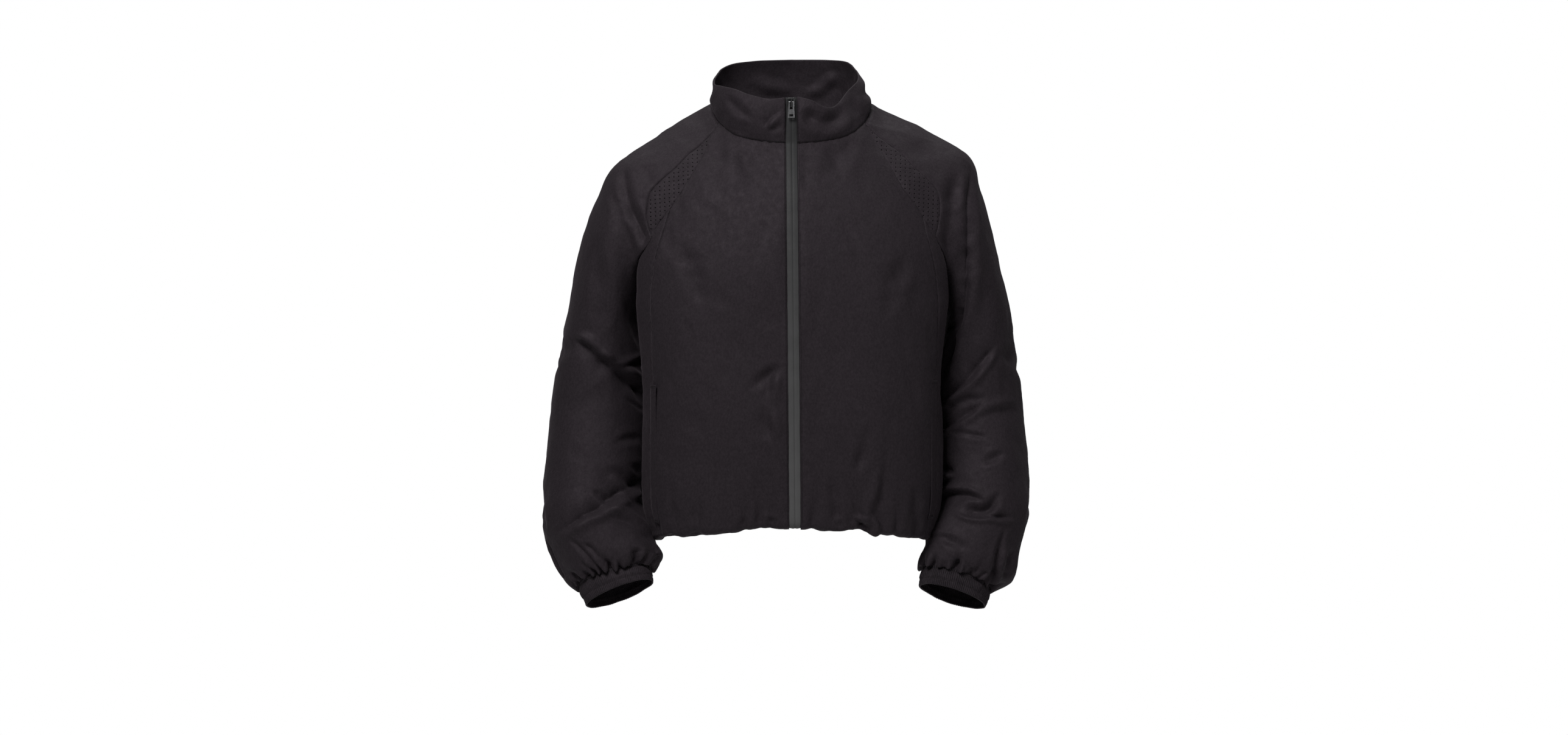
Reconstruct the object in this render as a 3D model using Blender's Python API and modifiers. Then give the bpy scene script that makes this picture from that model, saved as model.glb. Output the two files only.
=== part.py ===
"""A cropped windbreaker in the form it keeps when it is worn, arms hanging.

Woven nylon shell with a stand collar, full-length zip, raglan sleeves with
perforated inserts, princess seams with welt pockets, a bloused elastic hem
and elastic cuffs.  The front faces -Y, +X is the viewer's right and +Z is up.
The origin is the middle of the neck base, where the wearer holds it up.

All sizes and tables are in millimetres; meshes are scaled to metres at the
end.  The cloth is worked out on two kinds of surface:

  torso(side, (place, height))
                         one half of the body, by its level sections.  place
                         goes round it, 0 at the centre front and 1 at the
                         centre back.
  Sleeve.surface(run, columns)
                         a sleeve, by the loops that it passes through.  run
                         counts the loops from the raglan seam to the cuff, and
                         the columns go round from the underarm, over the front.
"""

import bmesh
import bpy
import numpy as np

MM = 0.001
LEFT = -1
RIGHT = 1
SIDES = ((LEFT, "left"), (RIGHT, "right"))
UP = np.array((0.0, 0.0, 1.0))


class Table:
    """Rows of numbers under named columns."""

    def __init__(self, names, *rows):
        self.names = names.split()
        self.rows = np.array(rows, float)

    def __getitem__(self, name):
        return self.rows[:, self.names.index(name)]


# ---- cloth -----------------------------------------------------------------
WALL = 1.2  # thickness of the sewn cloth
CUFF_WALL = 2.4  # shirred cloth over its elastic
SEAM_GAP = 0.4  # between pieces that are sewn together

# ---- body sections, a row for each height ------------------------------------
# Half-section points: centre front, quarter, front corner, side, back corner,
# back quarter, centre back.  Above the underarm the side points lie inside
# the sleeves and only lead the cloth towards them.
PLACES = np.array((0.0, 0.20, 0.42, 0.58, 0.74, 0.87, 1.0))
SIDE_PLACE = 0.58
PRINCESS_HEM_PLACE = 0.38
BODY = Table(
    "height front_y quarter_x quarter_y corner_x corner_y side_x side_y"
    " back_corner_x back_corner_y back_quarter_x back_quarter_y back_y",
    (40, -76, 52, -64, 88, -34, 104, -8, 86, 26, 48, 48, 56),
    (5, -84, 62, -72, 104, -38, 150, 0, 112, 36, 62, 56, 64),
    (-28, -92, 80, -79, 140, -44, 205, 0, 140, 48, 75, 74, 78),
    (-60, -107, 95, -94, 170, -55, 240, 2, 165, 62, 92, 90, 93),
    (-110, -126, 112, -114, 190, -71, 262, 5, 183, 76, 104, 108, 113),
    (-165, -139, 120, -128, 197, -83, 203, 8, 186, 84, 108, 122, 128),
    (-235, -147, 124, -137, 203, -80, 189, 12, 184, 86, 108, 130, 138),
    (-340, -151, 126, -141, 205, -73, 181, 14, 179, 92, 107, 137, 146),
    (-430, -151, 125, -142, 204, -72, 180, 10, 180, 92, 108, 139, 148),
    (-500, -149, 123, -140, 203, -74, 179, 5, 181, 88, 108, 136, 146),
    (-560, -143, 118, -132, 196, -73, 173, 0, 174, 80, 103, 129, 138),
)
BODY_HALF = (200.0, 145.0)  # half-width and half-depth, for the way out of the body
HEM = Table(  # height of the fold that the hem turns under on
    "place height",
    (0.0, -532), (0.12, -537), (0.22, -541), (0.34, -547), (0.46, -551), (0.58, -549),
    (0.74, -545), (0.87, -542), (1.0, -541),
)
HEM_ROLL = 9.0  # radius of the fold
HEM_ANGLES = np.array((180, 120, 60))  # degrees round the fold, each a row of the panel
CASING_HEIGHT = 24.0
CASING_LEAN = 2.0  # further in at its top
CASING_COLUMNS = 14
CASING_GAP = 0.6

# ---- seams -------------------------------------------------------------------
ZIP_TOP = 33.0
ZIP_MIDDLE_TOP = -1.0  # the zip wanders a little from the centre plane
ZIP_MIDDLE_BOTTOM = 4.0
TAPE_WIDTH = 7.6
TAPE_WALL = 1.0
TAPE_ROWS = 16
TAPE_ANGLES = np.array((55,))  # degrees round the hem's fold where the tapes end
ZIP_HALF = TAPE_WIDTH + 0.15
NECK = Table("x height", (0, -28), (40, -24.5), (62, -20), (76, -15), (88, -6), (97, 4))
NECK_FRONT_HEIGHT = 4.0  # where the front raglan seam meets the neck
NECK_FRONT_X = 97.0
SHOULDER_POINT = (104.0, 4.0, 37.0)
BACK_NECK = Table("x height", (0, 22), (40, 24), (76, 29))
BACK_NECK_HEIGHT = 29.0
UNDERARM_HEIGHT = -235.0
RAGLAN = Table(
    "height left_x right_x",
    (4, 97, 97), (-32, 112, 117), (-60, 127, 132), (-87, 143, 147), (-113, 160, 166),
    (-135, 177, 179), (-160, 189, 194),
)
RAGLAN_HIDDEN = Table("height place", (-184, 0.462), (-210, 0.525), (-235, SIDE_PLACE))
BACK_RAGLAN = Table(
    "height place",
    (29, 0.800), (0, 0.795), (-50, 0.785), (-110, 0.772), (-160, 0.740), (-205, 0.665), (-235, SIDE_PLACE),
)
PRINCESS_TOP = {LEFT: -112.0, RIGHT: -124.0}
PRINCESS = Table(
    "height left_x right_x",
    (-146, 170, 176), (-175, 178, 184), (-210, 184, 191), (-260, 188, 195), (-346, 191, 197),
    (-460, 191, 197), (-530, 188, 193), (-560, 184, 188),
)

# ---- rows and columns of the panels --------------------------------------------
BODY_ROWS = 14
NECK_COLUMNS = 5
RAGLAN_COLUMNS = 5
SIDE_COLUMNS = 5
SHOULDER_COLUMNS = 4
BACK_RAGLAN_COLUMNS = 8
BACK_NECK_COLUMNS = 3
SLEEVE_ROWS = 17
COLLAR_ROWS = 3
FOLDED_BACK = -0.97  # cosine of the sharpest turn that the seam gap allows for
CUFF_GAP = 1.1  # the bloused sleeve meets the cuff at a right angle

# ---- sleeves: a row for each loop, the last one at the cuff's end ----------------
SLEEVE_LOOPS = {
    LEFT: Table(
        "outer_x outer_z inner_x inner_z middle_y depth rise",
        (228, -37, 211, -250, 8, 83, 0),
        (264, -96, 211, -262, 9, 82, 0),
        (287, -170, 209, -280, 10, 79, 0),
        (304, -248, 204, -308, 12, 76, 2),
        (317, -312, 200, -350, 14, 73, 4),
        (325, -376, 197, -396, 11, 71, 6),
        (331, -440, 200, -442, 0, 70, 9),
        (336, -495, 205, -486, -17, 68, 13),
        (335, -532, 209, -520, -32, 66, 16),
        (322, -572, 200, -553, -48, 61, 19),
        (303, -605, 178, -574, -62, 51, 22),
        (282, -611, 191, -588, -68, 33, 23),
        (271, -638, 184, -606, -81, 31, 23),
    ),
    RIGHT: Table(
        "outer_x outer_z inner_x inner_z middle_y depth rise",
        (226, -27, 211, -250, 8, 83, 0),
        (256, -84, 211, -262, 9, 82, 0),
        (274, -155, 209, -280, 10, 79, 0),
        (292, -238, 204, -308, 12, 76, 2),
        (304, -303, 200, -350, 14, 73, 4),
        (312, -366, 197, -396, 11, 71, 6),
        (316, -428, 199, -442, 0, 70, 9),
        (317, -482, 203, -486, -17, 68, 13),
        (316, -522, 206, -520, -32, 65, 16),
        (303, -566, 197, -555, -48, 59, 19),
        (293, -606, 178, -577, -62, 49, 22),
        (261, -616, 177, -589, -68, 33, 23),
        (255, -639, 170, -612, -81, 31, 23),
    ),
}
ARMPIT_LEAD = 0.06  # the cloth leaves the lower armhole outwards before it hangs
ARMPIT_LOOPS = 5
CUFF_BULGE = 1.03
INSERT = Table(  # width of the perforated insert
    "down_seam width",
    (0, 0), (30, 13), (50, 25), (72, 30), (96, 38), (122, 42), (150, 30), (176, 12), (190, 0),
)
INSERT_ROWS = 2
TIP_SHARE = 0.2  # how far each tip is drawn in

# ---- largest folds of the sleeves, as the viewer sees them ------------------------
FOLDS = {
    LEFT: Table(
        "from_x from_z to_x to_z half_width depth",
        (221, -55, 200, -140, 16, 7),
        (289, -287, 205, -348, 16, 6),
        (200, -480, 255, -501, 14, 8),
        (255, -501, 312, -541, 14, 8),
    ),
    RIGHT: Table(
        "from_x from_z to_x to_z half_width depth",
        (208, -45, 204, -160, 16, 7),
        (228, -90, 212, -160, 14, 6),
        (272, -304, 212, -365, 16, 6),
        (206, -506, 275, -494, 16, 8),
    ),
}
FOLD_FACING = 1.6  # cloth this much steeper than the viewer's way is folded in full
FOLD_FREE_ROWS = 2  # rows over which folds fade at each end of a sleeve

# ---- collar ------------------------------------------------------------------------
RIM = Table(  # way: 0 at the zip, 1 at the centre back
    "way y left_x left_z right_x right_z",
    (0.00, -90, 7.7, 32, 7.7, 33),
    (0.10, -92, 30, 30, 26, 28),
    (0.20, -85, 55, 36, 46, 20),
    (0.29, -70, 75, 45, 60, 25),
    (0.38, -49, 92, 51, 75, 45),
    (0.48, -22, 103, 57, 88, 61),
    (0.58, 4, 99, 74, 91, 79),
    (0.70, 26, 84, 88, 80, 92),
    (0.84, 45, 52, 96, 51, 97),
    (1.00, 54, 0, 99, 0, 99),
)
COLLAR_BULGE = 4.0
COLLAR_LIFT = 0.5  # clear of the panels, which meet it at an angle

# ---- pockets -----------------------------------------------------------------
POCKET_TOP = {LEFT: -346.0, RIGHT: -340.0}
POCKET_LENGTH = 182.0
WELT_WIDTH = 10.0
WELT_WALL = 1.4
WELT_ROWS = 8
WELT_INSET = 0.8  # from the princess seam

# ---- slider and pull tab -----------------------------------------------------
HINGE_HEIGHT = 26.5
HINGE_OFF_SLIDER = 1.9
TAB_LENGTH = 21.5
TAB_TOP_WIDTH = 7.0
TAB_BOTTOM_WIDTH = 9.0
TAB_WALL = 1.5
TAB_SLOT_WIDTH = 3.9
TAB_SLOT_LENGTH = 9.2
TAB_WINDOW = (5.4, 3.1)  # width, height
TAB_WINDOW_ABOVE_END = 1.6
TAB_BEVEL = 0.35
TAB_BAR = 1.2  # the bar at its top that hangs in the bail
BAIL_WIDTH = 2.2
BAIL_WALL = 1.2
BAIL_ROOM = 3.3  # between the slider and the bail
BAIL_WINDOW_HEIGHT = 8.4
BAIL_SINK = 0.2
BAIL_BEVEL = 0.5
SLIDER_SIZE = (9.4, 3.2, 13.0)
SLIDER_MIDDLE = 26.0  # height
SLIDER_BEVEL = 1.2
SLIDER_OFF_TAPE = 0.6

COLLECTION = "windbreaker"
CUTTERS = "cutters"

# ---- steps that the shapes are worked out with -------------------------------------
HALVINGS = 24
SEAM_STEPS = 400
NECK_ROUNDS = 4
NORMAL_STEP = (0.01, 1.0)  # place, height
FIRST_STEP = 0.1  # of the way to a sleeve's first loop
INSERT_STEPS = np.linspace(0, 2.0, 120)


# ---- curves --------------------------------------------------------------------------
def smooth(knots, values, at):
    """Smooth curve through the rows of values, one at each knot."""
    knots = np.asarray(knots, float)
    values = np.asarray(values, float)
    if knots[0] > knots[-1]:
        knots = knots[::-1]
        values = values[::-1]
    slopes = np.gradient(values, knots, axis=0)
    at = np.clip(np.asarray(at, float), knots[0], knots[-1])
    row = np.clip(np.searchsorted(knots, at) - 1, 0, len(knots) - 2)
    span = knots[row + 1] - knots[row]
    u = (at - knots[row]) / span
    if values.ndim == 2:
        span = span[..., None]
        u = u[..., None]
    start = (1 + 2 * u) * (1 - u) ** 2 * values[row] + u * (1 - u) ** 2 * span * slopes[row]
    end = u**2 * (3 - 2 * u) * values[row + 1] + u**2 * (u - 1) * span * slopes[row + 1]
    return start + end


def length_along(points):
    """Distance from the first point to each point."""
    steps = np.linalg.norm(np.diff(points, axis=0), axis=1)
    return np.concatenate(([0.0], np.cumsum(steps)))


def unit(vectors):
    return vectors / np.maximum(np.linalg.norm(vectors, axis=-1, keepdims=True), 1e-9)


# ---- the torso surface -----------------------------------------------------------------
def torso_half(place, height):
    """x and y on the +X half of the body."""
    place, height = np.broadcast_arrays(np.asarray(place, float), np.asarray(height, float))
    here = {name: smooth(BODY["height"], BODY[name], height) for name in BODY.names[1:]}
    zero = np.zeros_like(here["side_x"])
    xs = [zero, here["quarter_x"], here["corner_x"], here["side_x"], here["back_corner_x"],
          here["back_quarter_x"], zero]
    ys = [here["front_y"], here["quarter_y"], here["corner_y"], here["side_y"],
          here["back_corner_y"], here["back_quarter_y"], here["back_y"]]
    return along_section(xs, place, -1), along_section(ys, place, 1)


def along_section(points, place, mirrored):
    """One coordinate round a half-section, smooth across the centre planes."""
    points = np.stack(points, -1)
    slopes = np.empty_like(points)
    slopes[..., 1:-1] = (points[..., 2:] - points[..., :-2]) / (PLACES[2:] - PLACES[:-2])
    slopes[..., 0] = (points[..., 1] - mirrored * points[..., 1]) / (2 * PLACES[1])
    last = PLACES[-1] - PLACES[-2]
    slopes[..., -1] = (mirrored * points[..., -2] - points[..., -2]) / (2 * last)
    row = np.clip(np.searchsorted(PLACES, place) - 1, 0, len(PLACES) - 2)
    span = PLACES[row + 1] - PLACES[row]
    u = (place - PLACES[row]) / span
    here = np.take_along_axis(points, row[..., None], -1)[..., 0]
    there = np.take_along_axis(points, row[..., None] + 1, -1)[..., 0]
    leave = np.take_along_axis(slopes, row[..., None], -1)[..., 0]
    arrive = np.take_along_axis(slopes, row[..., None] + 1, -1)[..., 0]
    start = (1 + 2 * u) * (1 - u) ** 2 * here + u * (1 - u) ** 2 * span * leave
    end = u**2 * (3 - 2 * u) * there + u**2 * (u - 1) * span * arrive
    return start + end


def torso(side, seam_points):
    """Points on the body for (place, height)."""
    x, y = torso_half(seam_points[..., 0], seam_points[..., 1])
    return np.stack([side * x, y, seam_points[..., 1]], -1)


def place_at(x, height):
    """The place in front where the half-section reaches x."""
    x, height = np.broadcast_arrays(np.asarray(x, float), np.asarray(height, float))
    low = np.zeros_like(x)
    high = np.full_like(x, PLACES[2])
    for _ in range(HALVINGS):
        middle = (low + high) / 2
        short = torso_half(middle, height)[0] < x
        low = np.where(short, middle, low)
        high = np.where(short, high, middle)
    return (low + high) / 2


def outwards(points):
    """Level direction away from the body's axis."""
    across, through = BODY_HALF
    level = [points[..., 0] / across**2, points[..., 1] / through**2, np.zeros_like(points[..., 0])]
    return unit(np.stack(level, -1))


def torso_normal(side, seam_points):
    """Direction away from the cloth at points given as (place, height)."""
    round_step = np.array((NORMAL_STEP[0], 0.0))
    up_step = np.array((0.0, NORMAL_STEP[1]))
    round_body = torso(side, seam_points + round_step) - torso(side, seam_points - round_step)
    up = torso(side, seam_points + up_step) - torso(side, seam_points - up_step)
    return unit(np.cross(round_body, up) * side)


def hem_height(place):
    return smooth(HEM["place"], HEM["height"], place)


def zip_middle(height):
    bottom = HEM["height"][0]
    share = (np.asarray(height, float) - bottom) / (ZIP_TOP - bottom)
    return ZIP_MIDDLE_BOTTOM + share * (ZIP_MIDDLE_TOP - ZIP_MIDDLE_BOTTOM)


def zip_edge(side, height):
    return place_at(side * zip_middle(height) + ZIP_HALF, height)


# ---- seams as (place, height) ---------------------------------------------------------
def seam(places, heights):
    return np.stack(np.broadcast_arrays(places, heights), -1)


def seen_x(table, side):
    return table["left_x" if side == LEFT else "right_x"]


def raglan_place(side, height):
    places = place_at(seen_x(RAGLAN, side), RAGLAN["height"])
    heights = np.concatenate([RAGLAN["height"], RAGLAN_HIDDEN["height"]])
    return smooth(heights, np.concatenate([places, RAGLAN_HIDDEN["place"]]), height)


def princess_place(side, height):
    top = PRINCESS_TOP[side]
    heights = np.concatenate([[top], PRINCESS["height"]])
    lower = place_at(seen_x(PRINCESS, side), PRINCESS["height"])
    return smooth(heights, np.concatenate([[raglan_place(side, top)], lower]), height)


def even_seam(side, place_of, start, end, count):
    """A seam parted into count equal lengths."""
    heights = np.linspace(start, end, SEAM_STEPS)
    run = length_along(torso(side, seam(place_of(heights), heights)))
    heights = np.interp(np.linspace(0, run[-1], count + 1), run, heights)
    return seam(place_of(heights), heights)


def raglan_seam(side, start, end, count):
    return even_seam(side, lambda height: raglan_place(side, height), start, end, count)


def back_raglan_seam(side):
    def place_of(height):
        return smooth(BACK_RAGLAN["height"], BACK_RAGLAN["place"], height)

    return even_seam(side, place_of, UNDERARM_HEIGHT, BACK_NECK_HEIGHT, BACK_RAGLAN_COLUMNS)


def neck_seam(side):
    """From the zip to the front raglan seam."""
    edge = side * zip_middle(NECK["height"][0]) + ZIP_HALF
    xs = np.linspace(edge, NECK_FRONT_X, NECK_COLUMNS + 1)
    heights = smooth(NECK["x"], NECK["height"], xs)
    return seam(place_at(xs, heights), heights)


def back_neck_seam():
    """From the back raglan seam to the centre back."""
    places = np.linspace(BACK_RAGLAN["place"][0], 1.0, BACK_NECK_COLUMNS + 1)
    heights = np.full_like(places, BACK_NECK_HEIGHT)
    for _ in range(NECK_ROUNDS):
        heights = smooth(BACK_NECK["x"], BACK_NECK["height"], torso_half(places, heights)[0])
    heights[0] = BACK_NECK_HEIGHT
    return seam(places, heights)


def shoulder_neck(side):
    """The neck edge of a sleeve, front raglan seam to back raglan seam."""
    before = torso(side, neck_seam(side)[[-1 - NECK_COLUMNS // 5, -1]])
    after = torso(side, back_neck_seam()[[0, BACK_NECK_COLUMNS // 3]])
    middle = np.array(SHOULDER_POINT) * (side, 1, 1)
    route = np.array([before[0], before[1], middle, after[0], after[1]])
    way = length_along(route)
    half = SHOULDER_COLUMNS // 2
    at = np.concatenate([np.linspace(way[1], way[2], half + 1), np.linspace(way[2], way[3], half + 1)[1:]])
    return smooth(way, route, at)


# ---- panels -----------------------------------------------------------------------------
def spread(height, centre):
    wide = BODY["quarter_x"] if centre == 0.0 else BODY["back_quarter_x"]
    return smooth(BODY["height"], wide, height)


def panel(bottom, top, start, end, centre):
    """Grid of (place, height) that fills four seams, with places as wide as the cloth there."""
    edges = [np.stack([(e[:, 0] - centre) * spread(e[:, 1], centre), e[:, 1]], -1)
             for e in (bottom, top, start, end)]
    bottom, top, start, end = edges
    across = np.linspace(0, 1, len(bottom))[None, :, None]
    up = np.linspace(0, 1, len(start))[:, None, None]
    rows = (1 - up) * bottom[None] + up * top[None]
    columns = (1 - across) * start[:, None] + across * end[:, None]
    corners = (1 - up) * (1 - across) * bottom[0] + (1 - up) * across * bottom[-1]
    corners = corners + up * (1 - across) * top[0] + up * across * top[-1]
    grid = rows + columns - corners
    places = grid[..., 0] / spread(grid[..., 1], centre) + centre
    return np.stack([places, grid[..., 1]], -1)


def hem_row(first, last, count):
    places = np.linspace(first, last, count + 1)
    return seam(places, hem_height(places) + HEM_ROLL)


def front_grid(side):
    raglan = raglan_seam(side, NECK_FRONT_HEIGHT, PRINCESS_TOP[side], RAGLAN_COLUMNS)
    top = np.concatenate([neck_seam(side), raglan[1:]])
    low = hem_height(0.0) + HEM_ROLL
    zip_heights = np.linspace(low, top[0, 1], BODY_ROWS + 1)
    seam_low = hem_height(PRINCESS_HEM_PLACE) + HEM_ROLL
    seam_heights = np.linspace(seam_low, PRINCESS_TOP[side], BODY_ROWS + 1)
    start = seam(zip_edge(side, zip_heights), zip_heights)
    end = seam(princess_place(side, seam_heights), seam_heights)
    bottom = hem_row(start[0, 0], end[0, 0], len(top) - 1)
    start[0] = bottom[0]
    end[0] = bottom[-1]
    return panel(bottom, top, start, end, 0.0)


def side_front_grid(side, front):
    heights = np.linspace(hem_height(SIDE_PLACE) + HEM_ROLL, UNDERARM_HEIGHT, BODY_ROWS + 1)
    top = raglan_seam(side, PRINCESS_TOP[side], UNDERARM_HEIGHT, SIDE_COLUMNS)
    bottom = hem_row(front[0, -1, 0], SIDE_PLACE, SIDE_COLUMNS)
    return panel(bottom, top, front[:, -1], seam(SIDE_PLACE, heights), 0.0)


def back_half_grid(side):
    heights = np.linspace(hem_height(SIDE_PLACE) + HEM_ROLL, UNDERARM_HEIGHT, BODY_ROWS + 1)
    top = np.concatenate([back_raglan_seam(side), back_neck_seam()[1:]])
    middle = np.linspace(hem_height(1.0) + HEM_ROLL, top[-1, 1], BODY_ROWS + 1)
    bottom = hem_row(SIDE_PLACE, 1.0, len(top) - 1)
    return panel(bottom, top, seam(SIDE_PLACE, heights), seam(1.0, middle), 1.0)


def hem_turn(points, angles):
    """The points with rows that roll under below the lowest one."""
    base = points[0]
    angle = np.radians(angles)[:, None, None]
    rows = base - outwards(base) * HEM_ROLL * (1 - np.cos(angle)) - UP * HEM_ROLL * np.sin(angle)
    return np.concatenate([rows, points])


def on_torso(side, grid):
    return hem_turn(torso(side, grid), HEM_ANGLES)


def casing_half(side):
    """The elastic casing, from where the hem's fold ends up inside the body."""
    start = zip_edge(side, hem_height(0.0) + HEM_ROLL)
    base = torso(side, hem_row(start, 1.0, CASING_COLUMNS))
    away = outwards(base)
    low = base - away * 2 * HEM_ROLL
    high = low - away * CASING_LEAN + UP * CASING_HEIGHT
    return np.array([low, high])


def welt_grid(side):
    """The pocket welt, lying on the front panel beside the princess seam."""
    heights = np.linspace(POCKET_TOP[side], POCKET_TOP[side] - POCKET_LENGTH, WELT_ROWS + 1)
    seam_x = torso_half(princess_place(side, heights), heights)[0]
    lift = (WALL + WELT_WALL) / 2 + SEAM_GAP
    columns = []
    for offset in (WELT_INSET, WELT_INSET + WELT_WIDTH):
        points = torso(side, seam(place_at(seam_x - offset, heights), heights))
        columns.append(points + outwards(points) * lift)
    return np.stack(columns, axis=1)


def zip_grid(side):
    """One zip tape, from the hem's fold to the top of the collar."""
    neck = NECK["height"][0]
    body = np.linspace(hem_height(0.0) + HEM_ROLL, neck, TAPE_ROWS + 1)
    above = np.linspace(neck, ZIP_TOP, COLLAR_ROWS + 1)[1:]
    heights = np.concatenate([body, above])
    under = np.minimum(heights, neck)
    up = np.interp(heights, (neck, ZIP_TOP), (0, 1))
    y = torso_half(zip_edge(side, under), under)[1] * (1 - up) + up * RIM["y"][0]
    columns = []
    for offset in (0.0, TAPE_WIDTH):
        columns.append(np.stack([zip_middle(heights) + side * offset, y, heights], -1))
    return hem_turn(np.stack(columns, axis=1), TAPE_ANGLES)


# ---- sleeves ----------------------------------------------------------------------------
def loop_points(side, loop, turn):
    """Points of one loop: turn goes once round from the underarm, over the front."""
    tilt = np.radians(loop["rise"])
    outer = np.array((side * loop["outer_x"], loop["middle_y"], loop["outer_z"]))
    inner = np.array((side * loop["inner_x"], loop["middle_y"], loop["inner_z"]))
    front = loop["depth"] * np.array((0.0, -np.cos(tilt), np.sin(tilt)))
    angle = 2 * np.pi * np.asarray(turn)[..., None]
    return (outer + inner) / 2 - (outer - inner) / 2 * np.cos(angle) + front * np.sin(angle)


class Sleeve:
    """Surface of one sleeve through its loops; the first is the raglan seam."""

    def __init__(self, side):
        self.side = side
        low = raglan_seam(side, UNDERARM_HEIGHT, PRINCESS_TOP[side], SIDE_COLUMNS)
        high = raglan_seam(side, PRINCESS_TOP[side], NECK_FRONT_HEIGHT, RAGLAN_COLUMNS)
        front = np.concatenate([low, high[1:]])
        back = back_raglan_seam(side)[::-1]
        neck = shoulder_neck(side)
        self.front_columns = len(front) - 1
        loop = np.concatenate([torso(side, front), neck[1:], torso(side, back[1:])])
        middle = np.broadcast_to(UP, (len(neck) - 2, 3))
        self.body_normals = np.concatenate([torso_normal(side, front), middle, torso_normal(side, back[:-1])])
        run = length_along(loop)
        top = self.front_columns + SHOULDER_COLUMNS // 2
        self.turns = np.where(
            run <= run[top], 0.5 * run / run[top], 0.5 + 0.5 * (run - run[top]) / (run[-1] - run[top])
        )[:-1]
        self.seam_run = run[self.front_columns] - run
        table = SLEEVE_LOOPS[side]
        rows = [dict(zip(table.names, row)) for row in table.rows]
        self.cuff_end = rows[-1]
        loops = [loop[:-1]]
        for index, row in enumerate(rows[:-1]):
            lead = ARMPIT_LEAD * max(0.0, 1 - index / ARMPIT_LOOPS) * np.sin(2 * np.pi * self.turns)
            loops.append(loop_points(side, row, self.turns + lead))
        self.loops = np.array(loops)
        self.last = len(self.loops) - 1

    def surface(self, run, columns):
        """A point on each of the columns, a run for each."""
        knots = np.arange(len(self.loops), dtype=float)
        return np.array([smooth(knots, self.loops[:, c], r) for r, c in zip(run, columns)])

    def start_gaps(self):
        """Seam gap on each column, wider where the sleeve turns sharply from the body."""
        columns = np.arange(len(self.turns))
        way = unit(self.surface(np.full(len(columns), FIRST_STEP), columns) - self.loops[0])
        along = unit(np.roll(self.loops[0], -1, axis=0) - np.roll(self.loops[0], 1, axis=0))
        own = np.cross(way, along) * self.side
        slant = np.linalg.norm(own, axis=1)
        turned = np.clip((unit(own) * self.body_normals).sum(axis=1), FOLDED_BACK, 1)
        half = np.arccos(turned) / 2
        return (SEAM_GAP / 2 + WALL / 2 * np.tan(half)) / slant

    def insert_run(self):
        """How far out the insert reaches on each column."""
        reach = np.zeros(len(self.turns))
        for c in range(1, self.front_columns):
            width = smooth(INSERT["down_seam"], INSERT["width"], max(self.seam_run[c], 0.0))
            if self.seam_run[c] >= INSERT["down_seam"][-1] or width <= 0:
                continue
            points = self.surface(INSERT_STEPS, np.full(len(INSERT_STEPS), c))
            reach[c] = np.interp(width, length_along(points), INSERT_STEPS)
        return reach

    def grid(self):
        start = self.insert_run()
        rows = []
        for share in np.linspace(0, 1, SLEEVE_ROWS + 1):
            run = start + share * (self.last - start)
            rows.append(self.surface(run, np.arange(len(run))))
        return np.array(rows)

    def insert_columns(self):
        used = np.nonzero(self.insert_run() > 0)[0]
        return np.arange(used[0] - 1, used[-1] + 2)

    def insert_grid(self):
        reach = self.insert_run()
        columns = self.insert_columns()
        rows = []
        for share in np.linspace(0, 1, INSERT_ROWS + 1):
            rows.append(self.surface(reach[columns] * share, columns))
        return np.array(rows)

    def cuff_grid(self):
        start = self.loops[-1]
        end = loop_points(self.side, self.cuff_end, self.turns)
        middle = (start + end) / 2
        centre = middle.mean(axis=0)
        return np.array([start, centre + (middle - centre) * CUFF_BULGE, end])


def distance_to_line(points, line):
    start = np.array((line["from_x"], line["from_z"]))
    along = np.array((line["to_x"], line["to_z"])) - start
    share = np.clip((points - start) @ along / (along @ along), 0, 1)
    return np.linalg.norm(points - start - share[..., None] * along, axis=-1)


def fold_sleeve(side, points):
    """Presses the largest folds into the front of a sleeve."""
    away = unit(points - points.mean(axis=1, keepdims=True))
    facing = np.clip(-away[..., 1] * FOLD_FACING, 0, 1)
    seen = points[..., (0, 2)] * (side, 1)
    down = np.linspace(0, len(points), len(points))[:, None]
    free = np.clip(down / FOLD_FREE_ROWS, 0, 1) * np.clip((len(points) - down) / FOLD_FREE_ROWS, 0, 1)
    moved = points.copy()
    table = FOLDS[side]
    for row in table.rows:
        line = dict(zip(table.names, row))
        trough = np.exp(-((distance_to_line(seen, line) / line["half_width"]) ** 2))
        moved -= away * (line["depth"] * trough * facing * free)[..., None]
    return moved


# ---- collar -----------------------------------------------------------------------------
def collar_half(side):
    front = torso(side, neck_seam(side))
    back = torso(side, back_neck_seam())
    base = np.concatenate([front, shoulder_neck(side)[1:], back[1:]])
    way = length_along(base)
    way /= way[-1]
    name = "left" if side == LEFT else "right"
    shown = np.stack([RIM[f"{name}_x"], RIM["y"], RIM[f"{name}_z"]], -1)
    rim = smooth(RIM["way"], shown, way)
    rim[:, 0] = np.maximum(rim[:, 0], 0.0) * side
    rim[0, 0] += zip_middle(ZIP_TOP)
    bulge = outwards(base) * COLLAR_BULGE
    bulge[0] = 0.0
    share = np.linspace(0, 1, COLLAR_ROWS + 1)[:, None, None]
    grid = base + (rim - base) * share + bulge * 4 * share * (1 - share)
    grid[0] = base + UP * COLLAR_LIFT
    return grid


def join_halves(left, right):
    """One grid from a left half and a right half that meet at the centre back."""
    return np.concatenate([left, right[:, -2::-1]], axis=1)


# ---- meshes ------------------------------------------------------------------------
def material(name, colour, roughness, metallic=0.0):
    made = bpy.data.materials.new(name)
    made.use_nodes = True
    shader = made.node_tree.nodes["Principled BSDF"]
    shader.inputs["Base Color"].default_value = (*colour, 1.0)
    shader.inputs["Roughness"].default_value = roughness
    shader.inputs["Metallic"].default_value = metallic
    return made


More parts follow.
